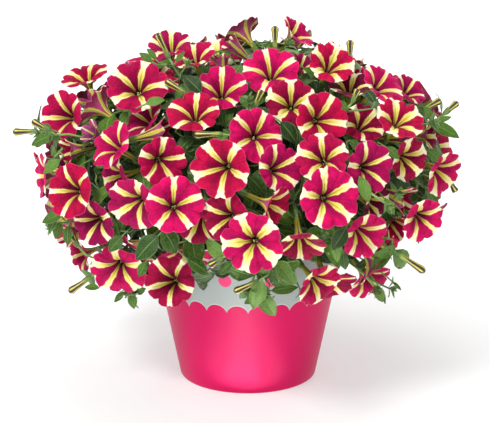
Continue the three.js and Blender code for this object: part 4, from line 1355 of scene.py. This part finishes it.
# A paler band along the edge of the blade: a painted highlight on the leaf's rim
green = w.tint(w.smooth(rim, 0.84, 1.0, 0.0, 0.28), green, (166, 190, 128))
green = w.tint(w.times(back, 0.45), green, (136, 168, 116))
w.feed(put["Colour"], green)
quilt = w.plus(w.times(side_vein, -0.8), w.times(midrib, -1.2))
w.feed(put["Height"], w.plus(quilt, w.times(mottle, 0.8)))

leaf_green, w, main = shader("leaf", 0.45, Specular_IOR_Level=0.28)
marks = use(w, leaf_marks, Place=w.attribute("place"), Look=w.attribute("look"))
w.feed(main.inputs["Base Color"], marks["Colour"])
bump(w, main, marks["Height"], 0.7, 0.0011)

stalk_green, w, main = shader("stalk", 0.5, Specular_IOR_Level=0.4, Sheen_Weight=0.2)
tone = w.parts(w.attribute("look"))[1]
lines = w.noise(w.object_place(), 420.0, 3.0)
colour = w.ramp(w.plus(tone, w.times(w.minus(lines, 0.5), 0.4)), (
    (0.0, (96, 84, 48)), (0.35, (88, 122, 56)), (0.7, (122, 158, 78)), (1.0, (164, 184, 96)),
))
w.feed(main.inputs["Base Color"], colour)
bump(w, main, lines, 0.3, 0.0003)

bud_skin, w, main = shader("bud", 0.5, Specular_IOR_Level=0.4, Sheen_Weight=0.15)
bx, by, run = w.parts(w.attribute("place"))
around = w.math("ARCTAN2", by, bx)
wave = w.math("ABSOLUTE", w.math("SINE", w.times(around, 2.5)))
speckle = w.noise(w.vector(w.times(around, 1.5), run, 0.0), 6.0, 3.0)
colour = w.ramp(run, ((0.0, (120, 148, 56)), (0.5, (196, 194, 78)), (1.0, (214, 204, 84))))
line = w.times(w.smooth(w.plus(wave, w.times(speckle, 0.2)), 0.5, 0.72), 0.97)
colour = w.tint(w.times(line, w.smooth(run, 0.05, 0.5)), colour, (48, 10, 30))
colour = w.tint(w.smooth(run, 0.9, 1.0, 0.0, 0.9), colour, (40, 8, 24))
w.feed(main.inputs["Base Color"], colour)
bump(w, main, wave, 0.5, 0.0005)

# Printed pot: a pink body under a plain silver-green band, parted by a row of even scallops
SCALLOPS = 26
SCALLOP_FOOT = 0.0915
SCALLOP_RISE = 0.022
DOT_HEIGHT = 0.131
DOT_RADIUS = 0.0068
POT_RADIUS_AT_DOTS = 0.097
PRINT_EDGE = 0.0002
pot_plastic, w, main = shader("printed pot plastic", 0.4, Specular_IOR_Level=0.17)
ox, oy, oz = w.parts(w.object_place())
around = w.math("ARCTAN2", oy, ox)
wave = w.minus(w.math("FRACT", w.plus(w.times(around, SCALLOPS / (2 * math.pi)), 20.5)), 0.5)
arch = w.math("SQRT", w.math("MAXIMUM", w.minus(0.27, w.times(wave, wave)), 0.0))
above = w.minus(oz, w.plus(SCALLOP_FOOT, w.times(arch, SCALLOP_RISE)))
band = w.smooth(above, -PRINT_EDGE, PRINT_EDGE)
outline = w.times(band, w.smooth(above, 0.0006, 0.0011, 1.0, 0.0))
row = w.math("FRACT", w.plus(w.times(around, SCALLOPS / (4 * math.pi)), 20.25))
dot_across = w.times(w.minus(row, 0.5), 4 * math.pi * POT_RADIUS_AT_DOTS / SCALLOPS)
dot_up = w.minus(oz, DOT_HEIGHT)
dot = w.math("SQRT", w.plus(w.times(dot_across, dot_across), w.times(dot_up, dot_up)))
dot_mark = w.smooth(dot, DOT_RADIUS - PRINT_EDGE, DOT_RADIUS + PRINT_EDGE, 1.0, 0.0)
speckle = w.noise(w.object_place(), 1500.0, 2.0)
cloud = w.noise(w.object_place(), 18.0, 3.0)
pink = w.mix(w.smooth(cloud, 0.3, 0.7, 0.0, 0.1), linear((204, 0, 86)), linear((212, 2, 92)))
silver = w.mix(speckle, linear((152, 162, 159)), linear((176, 182, 178)))
colour = w.mix(band, pink, silver)
colour = w.tint(outline, colour, (176, 216, 200))
colour = w.tint(dot_mark, colour, (232, 66, 122))
w.feed(main.inputs["Base Color"], colour)
w.feed(main.inputs["Roughness"], w.smooth(speckle, 0.2, 0.8, 0.36, 0.44))
bump(w, main, w.plus(cloud, w.times(speckle, 0.04)), 0.2, 0.0006)

potting_mix, w, main = shader("potting mix", 0.95)
spot = w.object_place()
crumbs = w.cells(spot, 260.0, "F1")
grain = w.noise(spot, 180.0, 5.0, 0.7)
colour = w.mix(grain, linear((44, 30, 20)), linear((92, 66, 44)))
colour = w.tint(w.smooth(w.cells(spot, 120.0, "F1"), 0.12, 0.17, 0.75, 0.0), colour, (214, 208, 196))
w.feed(main.inputs["Base Color"], colour)
bump(w, main, w.plus(crumbs, grain), 0.9, 0.002)


# Pieces: the blooms; a large one replaces its own node, the others go with their shoot
own_number = 0
for bloom in blooms:
    if not bloom["stalk"]:
        continue
    skin = Skin()
    small_around = SMALL_AROUND if bloom["number"] < len(FRONT_BLOOMS) else HIDDEN_AROUND
    corolla(skin, bloom, OWN_AROUND if bloom["own"] else small_around)
    stamens(skin, bloom, 4 if bloom["own"] else 3)
    if bloom["own"]:
        own_number += 1
        name, node = f"bloom_{own_number:02d}", f"flower_{own_number:02d}"
    else:
        name, node = f"small_bloom_{bloom['number'] + 1:03d}", f"shoot_{bloom['stalk'][0] + 1:02d}"
    skin.piece(name, [petal, anther], "petal", node)

# Stems, stalks and calyces of each shoot, then its leaves
stem_skins = [Skin() for _ in shoots]
leaf_skins = [Skin() for _ in shoots]
for number, shoot in enumerate(shoots):
    share = np.linspace(0, 1, 17)
    radii = STEM_RADIUS * (1.05 - 0.4 * share)
    tube(stem_skins[number], shoot["stem"].even(share), radii, STEM_AROUND, 0, (0, STEM_TONE, number))


def calyx(number, foot, face, seed, scale=1.0):
    """Narrow sepals round the foot of a bloom or bud."""
    base = foot - face * SEPAL_SEAT * scale
    for k in range(SEPALS):
        outward = turned_about(across_from(face), face, 2 * math.pi * (k + scatter(seed)) / SEPALS)
        along = unit(face + outward * (0.25 + 0.35 * scatter(seed + k * 0.31)))
        blade(
            leaf_skins[number], base + outward * SEPAL_REACH * scale, along,
            upper=-unit(np.cross(along, np.cross(outward, along))),
            length=SEPAL_LENGTH * scale * (0.85 + 0.3 * scatter(seed + k)),
            width=SEPAL_WIDTH * scale,
            droop=-0.5 - 0.4 * scatter(seed + k * 0.7),
            fold=0.3,
            tone=0.5 + 0.15 * scatter(seed + k * 1.9),
            seed=seed, steps=SEPAL_STEPS, belly=1.0, thick=SEPAL_THICKNESS,
        )


for bloom in blooms:
    if not bloom["stalk"]:
        continue
    number, curve = bloom["stalk"]
    face = bloom["frame"][2]
    foot = bloom["middle"] - face * COROLLA_LENGTH
    seat = [foot + face * height for height, _ in STALK_SEAT]
    path = np.concatenate([seat, curve.even(STALK_SHARES)[1:]])
    radii = [radius for _, radius in STALK_SEAT] + list(np.linspace(*STALK_RADII, len(STALK_SHARES) - 1))
    tube(stem_skins[number], path, radii, STALK_AROUND, 0, (0, STALK_TONE, bloom["number"]))
    calyx(number, foot, face, bloom["number"] + 0.5)

for bud in buds:
    number, root, heading, length = bud["shoot"], bud["root"], bud["heading"], bud["length"]
    share = np.linspace(0, 1, 12)
    radii = np.interp(share, *zip(*BUD_PROFILE))
    skin = stem_skins[number]
    tube(skin, root + heading * (share * length)[:, None], radii, BUD_AROUND, 1, (0, 0, length))
    skin.place[-1] = np.hstack([skin.place[-1][:, :2], np.repeat(share, BUD_AROUND)[:, None]])
    calyx(number, root + heading * 1.5, heading, length, BUD_CALYX_SCALE)

bloom_stalks = {id(bloom["stalk"][1]) for bloom in blooms if bloom["stalk"]}
all_stalks = [(number, curve) for number, shoot in enumerate(shoots) for curve in shoot["stalks"]]
for number, curve in all_stalks:
    if id(curve) not in bloom_stalks:
        radii = np.linspace(*THIN_STALK_RADII, len(STALK_SHARES))
        tube(stem_skins[number], curve.even(STALK_SHARES), radii, STALK_AROUND, 0, (0, STALK_TONE, 1))

for k, leaf in enumerate(leaves):
    depth = np.linalg.norm((leaf["at"] - DOME_MIDDLE) / DOME_REACH)
    blade(
        leaf_skins[leaf["shoot"]], leaf["at"], leaf["along"], leaf["upper"], leaf["length"],
        width=leaf["length"] * (0.5 + 0.16 * scatter(k + 0.2)),
        droop=0.5 + 0.7 * scatter(k + 0.4),
        fold=0.1 + 0.35 * scatter(k + 0.6),
        tone=0.04 + 0.36 * scatter(k + 0.8) + 0.3 * float(smooth_step(0.75, 1.0, depth)),
        seed=k * 0.77,
        steps=SMALL_LEAF_STEPS if leaf["small"] else LEAF_STEPS,
    )

# Leaves that don't grow on a stalk already there: each gets a thin one of its own
stalk_points = np.concatenate([curve.even(np.linspace(0.05, 0.95, STALK_SAMPLES)) for _, curve in all_stalks])
stalk_owner = np.repeat([number for number, _ in all_stalks], STALK_SAMPLES)


def join_to_plant(root, heading, radius, outward):
    """A thin stalk from the foot of a leaf or tip back to a stalk behind it; gives its shoot."""
    gap = stalk_points - root
    nearer = gap @ outward
    aside = np.linalg.norm(gap - nearer[:, None] * outward, axis=1)
    cost = aside + 0.35 * np.clip(-nearer, 0, None) + 3 * np.clip(nearer + 6, 0, None)
    nearest = int(np.argmin(cost))
    number, goal, span = int(stalk_owner[nearest]), stalk_points[nearest], np.linalg.norm(gap[nearest])
    leaving, arriving = root - heading * span * 0.4, goal + unit(root - goal) * span * 0.3
    path = Curve(root + heading * 0.5, leaving, arriving, goal).even(np.linspace(0, 1, 5))
    tube(stem_skins[number], path, np.linspace(radius, radius * 1.2, 5), 4, 0, (0, 0.5, 2))
    return number


# Leaves drawn in the view, pushed nearer or farther until there is room; or else the last push stays
for k, (root_x, root_y, tip_x, tip_y, width, tone) in enumerate(FRONT_LEAVES):
    toward = unit(VIEW_NEARER * 0.8 + Z_UP * 0.5 + VIEW_RIGHT * (scatter(k + 0.3) - 0.5) * 0.6)
    for push in LEAF_PUSHES:
        root = place_in_view(root_x, root_y, push)
        along, length = way_to_tip(root, tip_x, tip_y)
        across = unit(np.cross(toward, along))
        places = leaf_bead_places(root, along, across, length, length * width)
        if beads.have_room(places, FREE_LEAF_BEAD_RADIUS):
            break
    beads.add(places, FREE_LEAF_BEAD_RADIUS, -1, -1)
    number = join_to_plant(root, along, LEAF_STALK_RADIUS, VIEW_NEARER)
    blade(
        leaf_skins[number], root, along, np.cross(along, across), length,
        width=length * width,
        droop=0.3 + 0.5 * scatter(k + 0.4),
        fold=0.08 + 0.3 * scatter(k + 0.6),
        tone=tone * 0.85,
        seed=k * 1.3,
        steps=FRONT_LEAF_STEPS,
    )


def rosette(number, root, heading, size, seed):
    """Small young leaves round the end of a shoot, the inner ones shorter and more upright."""
    for n in range(YOUNG_LEAVES):
        inner = n / (YOUNG_LEAVES - 1)
        aside = turned_about(across_from(heading), heading, 2.4 * n + PHASE * scatter(seed))
        along = unit(heading + aside * (1.3 - 1.05 * inner + 0.3 * scatter(seed + n * 0.3)))
        length = size * (1.15 - 0.65 * inner) * (0.8 + 0.4 * scatter(seed + n * 0.6))
        blade(
            leaf_skins[number], root + heading * (size * 0.5 * inner), along,
            upper=unit(heading - along * (heading @ along)),
            length=length,
            width=length * (0.34 + 0.14 * scatter(seed + n * 0.7)),
            droop=0.4 + 0.5 * scatter(seed + n),
            fold=0.35,
            tone=0.46 + 0.3 * inner + 0.12 * scatter(seed + n * 0.9),
            seed=seed + n,
            steps=YOUNG_LEAF_STEPS,
        )


for k, sprig in enumerate(sprigs):
    rosette(sprig["shoot"], sprig["root"], sprig["heading"], SPRIG_LEAF_LENGTH, k * 5.1)
for k, (root_x, root_y, tip_x, tip_y, size) in enumerate(YOUNG_TIPS):
    for push in LEAF_PUSHES:
        root = place_in_view(root_x, root_y, push)
        along, _ = way_to_tip(root, tip_x, tip_y)
        if beads.have_room([root + along * size * share for share in (0, 0.6, 1)], YOUNG_BEAD_RADIUS):
            break
    number = join_to_plant(root, along, YOUNG_STALK_RADIUS, VIEW_NEARER)
    rosette(number, root, unit(along + VIEW_NEARER * 0.35), size, k * 7.7 + 3)

all_middles = np.array([bloom["middle"] for bloom in blooms])
all_faces = np.array([bloom["frame"][2] for bloom in blooms])
all_radii = np.array([bloom["radius"] for bloom in blooms])


def covers_bloom(place):
    """Whether a place lies before the face of a bloom, or on the way from it to the eye."""
    span = place - all_middles
    before = np.einsum("ij,ij->i", span, all_faces)
    off = np.linalg.norm(span - before[:, None] * all_faces, axis=1)
    covers = (off < all_radii * WIDE_FACE_SHARE) & (before > -COVER_BEHIND) & (before < COVER_BEFORE)
    return bool(covers.any()) or hides_front_bloom(place)


def crown_place(outward, facing, length, first_turn):
    """A free place for a leaf, as far out in the dome as there is one: root, direction, side and depth."""
    for depth in CROWN_DEPTHS:
        root = DOME_MIDDLE + DOME_REACH * outward * depth
        if root[1] < 0 and root[2] < CROWN_FRONT_LOWEST:
            continue
        for k in range(CROWN_TURNS):
            turn = first_turn + k * 2 * math.pi / CROWN_TURNS
            along = turned_about(across_from(facing), facing, turn)
            if any(covers_bloom(root + along * length * share) for share in (0.1, 0.5, 0.95)):
                continue
            across = unit(np.cross(facing, along))
            places = leaf_bead_places(root, along, across, length, length * LEAF_WIDTH_SHARE)
            if inside_outline(places) and beads.have_room(places, FREE_LEAF_BEAD_RADIUS):
                beads.add(places, FREE_LEAF_BEAD_RADIUS, -1, -1)
                return root, along, across, depth
    return None


# Broad leaves that close the crown, all round and as seen from above
for k in range(CROWN_LEAVES):
    height = 1 - CROWN_SPAN * (k + 0.5) / CROWN_LEAVES
    ring = math.sqrt(1 - height * height)
    outward = np.array([math.cos(GOLDEN_TURN * k) * ring, math.sin(GOLDEN_TURN * k) * ring, height])
    facing = unit(outward * 0.7 + Z_UP * (0.5 + 0.5 * scatter(k + 0.1)))
    length = scatter_between(CROWN_LEAF_LENGTHS, k + 0.5)
    found = crown_place(outward, facing, length, scatter(k) * 2 * math.pi)
    if not found:
        continue
    root, along, across, depth = found
    number = join_to_plant(root, along, LEAF_STALK_RADIUS, unit(outward))
    blade(
        leaf_skins[number], root, along, np.cross(along, across), length,
        width=length * (0.52 + 0.14 * scatter(k + 0.2)),
        droop=0.4 + 0.5 * scatter(k + 0.4),
        fold=0.1 + 0.3 * scatter(k + 0.6),
        tone=0.1 + 0.32 * scatter(k + 0.8) + 0.15 * (depth > 0.8),
        seed=k * 0.9,
        steps=SMALL_LEAF_STEPS,
    )

for number in range(len(shoots)):
    name = f"shoot_{number + 1:02d}"
    stem_skins[number].piece(f"stems_of_{name}", [stalk_green, bud_skin], "shoot_green", name)
    leaf_skins[number].piece(f"leaves_of_{name}", [leaf_green], "shoot_green", name)


def turned_skin(profile, around):
    """A closed profile turned round the axis; its first and last points lie on the axis."""
    skin = Skin()
    turns = 2 * np.pi * np.arange(around) / around
    circle = np.stack([np.cos(turns), np.sin(turns), 0 * turns], -1)
    rings = [circle * r + Z_UP * z for r, z in profile[1:-1]]
    count = len(rings)
    last = (count - 1) * around
    points = np.concatenate([*rings, [[0, 0, profile[0][1]]], [[0, 0, profile[-1][1]]]])
    j = np.arange(around)
    beside = (j + 1) % around
    low = np.stack([np.full(around, count * around), beside, j], -1)
    high = np.stack([np.full(around, count * around + 1), last + j, last + beside], -1)
    skin.add(points, [low, ring_quads(count, around, 0, flip=True), high])
    return skin


def wall_at(z, inset=0.0):
    return pot_radius_at(z) - inset


lip_foot = POT_HEIGHT - LIP_HEIGHT
under_lip = wall_at(lip_foot)
lip_radius = POT_TOP_RADIUS + LIP_WIDTH
mouth_radius = POT_TOP_RADIUS - POT_WALL
pot_profile = [
    (0, 0),
    (POT_BASE_RADIUS - 3, 0),
    (POT_BASE_RADIUS - 1, 0.3),
    (POT_BASE_RADIUS - 0.2, 1.0),
    (wall_at(2.4), 2.4),
    *[(wall_at(z), z) for z in np.linspace(12, lip_foot - 1.2, 14)],
    (under_lip + 0.2, lip_foot - 0.3),
    (under_lip + 0.8, lip_foot),
    (under_lip + LIP_WIDTH - 0.5, lip_foot + 0.1),
    (under_lip + LIP_WIDTH, lip_foot + 0.6),
    (lip_radius, POT_HEIGHT - 1),
    (lip_radius - 0.3, POT_HEIGHT - 0.3),
    (lip_radius - 1, POT_HEIGHT),
    (mouth_radius + 0.6, POT_HEIGHT),
    (mouth_radius, POT_HEIGHT - 0.6),
    *[(wall_at(z, POT_WALL), z) for z in np.linspace(POT_HEIGHT - 8, POT_FLOOR + 3, 8)],
    (wall_at(POT_FLOOR, POT_WALL + 2), POT_FLOOR),
    (0, POT_FLOOR),
]
pot = turned_skin(pot_profile, POT_AROUND).piece("grower_pot", [pot_plastic], "pot_plastic", "pot")

skin = Skin()
turns = 2 * np.pi * np.arange(DRAIN_AROUND) / DRAIN_AROUND
circle = DRAIN_RADIUS * np.stack([np.cos(turns), np.sin(turns), 0 * turns], -1)
drain_faces = [
    ring_quads(2, DRAIN_AROUND, 0, flip=True),
    fan(0, DRAIN_AROUND, True),
    fan(DRAIN_AROUND, DRAIN_AROUND),
]
for k in range(DRAIN_COUNT):
    turn = 2 * math.pi * k / DRAIN_COUNT
    ring = np.array([math.cos(turn), math.sin(turn), 0]) * DRAIN_CIRCLE + circle
    skin.add(np.concatenate([ring - Z_UP * 5, ring + Z_UP * 8]), drain_faces)
cutter_points = (np.concatenate(skin.points) * METRE).tolist()
cutter_mesh = bpy.data.meshes.new("drain_cutter")
cutter_mesh.from_pydata(cutter_points, [], [face.tolist() for block in skin.faces for face in block])
cutter = put_in_scene("drain_cutter", cutter_mesh)
cut = pot.modifiers.new("drain holes", "BOOLEAN")
cut.operation = "DIFFERENCE"
cut.solver = "EXACT"
cut.object = cutter
with bpy.context.temp_override(object=pot, active_object=pot):
    bpy.ops.object.modifier_apply(modifier=cut.name)
bpy.data.objects.remove(cutter)

# Soil: a crumbly, slightly crowned top inside the pot
soil_foot = POT_FLOOR + SEAT_GAP
soil_brim = np.linspace(wall_at(SOIL_TOP, POT_WALL + 1.5), 3, 26)
soil_profile = [
    (0, soil_foot),
    (wall_at(POT_FLOOR, POT_WALL + 1), soil_foot),
    *[(wall_at(z, POT_WALL + SEAT_GAP), z) for z in (20, 60, 100, SOIL_TOP - 3)],
    *[(r, SOIL_TOP + SOIL_CROWN * (1 - r / POT_TOP_RADIUS) - 0.5) for r in soil_brim],
    (0, SOIL_TOP + SOIL_CROWN - 0.5),
]
skin = turned_skin(soil_profile, SOIL_AROUND)
x, y, z = skin.points[0].T
bumps = np.sin(x * 0.9 + 1.3) * np.sin(y * 0.8) + 0.6 * np.sin(x * 2.3 + y * 1.9)
skin.points[0][:, 2] += np.where(z > SOIL_TOP - 2, bumps * 0.6, 0)
skin.piece("soil_surface", [potting_mix], "potting_mix", "potting_soil")

# Floor, light and camera
FLOOR_REACH = 9.0
FLOOR_COLOUR = (0.6, 0.61, 0.61, 1)
SKY_STRENGTH = 0.43
SENSOR_WIDTH = 36
floor_mesh = bpy.data.meshes.new("floor")
corners = [(-1, -1), (1, -1), (1, 1), (-1, 1)]
floor_mesh.from_pydata([(x * FLOOR_REACH, y * FLOOR_REACH, 0) for x, y in corners], [], [(0, 1, 2, 3)])
floor = put_in_scene("floor", floor_mesh)
glowing_paper, w, main = shader("studio floor", 0.9, Specular_IOR_Level=0.1)
main.inputs["Base Color"].default_value = FLOOR_COLOUR
# The floor glows white, as painted light: weaker near the pot, so that the shadows there still show, and
# stronger farther off, so that the far floor reads white
main.inputs["Emission Color"].default_value = (1, 1, 1, 1)
far = w.node("ShaderNodeVectorMath", {0: w.object_place()}, operation="LENGTH").outputs[1]
w.feed(main.inputs["Emission Strength"], w.smooth(far, 0.15, 0.7, 0.4, 0.68))
floor.data.materials.append(glowing_paper)

world = bpy.data.worlds.new("studio")
bpy.context.scene.world = world
world.use_nodes = True
sky = world.node_tree.nodes["Background"]
sky.inputs["Color"].default_value = (1, 1, 1, 1)
sky.inputs["Strength"].default_value = SKY_STRENGTH


def lamp(name, place, aim, size, power, length=None):
    """A disc of light, or a strip of it if there is a length."""
    light = bpy.data.lights.new(name, "AREA")
    light.shape = "RECTANGLE" if length else "DISK"
    light.size = size
    light.size_y = length or size
    light.energy = power
    made = put_in_scene(name, light)
    made.location = place
    heading = np.array(aim) - np.array(place)
    made.rotation_euler = Vector(heading).to_track_quat("-Z", "Y").to_euler()
    return made


# Name, place, aim, size in metres, power; the last two lie on the table before the pot
lamp("key", (-1.0, -1.9, 2.1), (0, 0, 0.2), 0.7, 60)
lamp("front", (-0.15, -2.4, 0.75), (0, 0, 0.12), 0.35, 6)
lamp("fill", (1.5, -2.2, 1.2), (0, 0, 0.2), 1.6, 7)
lamp("top", (0.1, 0.3, 2.4), (0, 0, 0.2), 1.6, 17)
lamp("back", (0.9, 2.3, 1.7), (0, 0, 0.2), 1.4, 24)
glow = lamp("glow on the table", (-0.012, -0.215, 0.004), (-0.012, -0.215, 1), 0.06, 0.15, 0.26)
sheen = lamp("sheen on the table", (-0.012, -0.245, 0.003), (-0.012, -0.245, 1), 0.16, 0.54, 0.34)
sheen.visible_diffuse = False
for strip in (glow, sheen):
    strip.visible_camera = False

camera_data = bpy.data.cameras.new("camera")
camera = put_in_scene("camera", camera_data)
camera_data.sensor_width = SENSOR_WIDTH
camera_data.lens = SENSOR_WIDTH * VIEW_DISTANCE / (FRAME_WIDTH * VIEW_STEP)
camera_data.clip_start, camera_data.clip_end = 0.1, 50
camera.location = VIEW_EYE * METRE
camera.rotation_euler = (math.pi / 2 - VIEW_TILT, 0, 0)
bpy.context.scene.camera = camera
bpy.context.scene.view_settings.view_transform = "Standard"
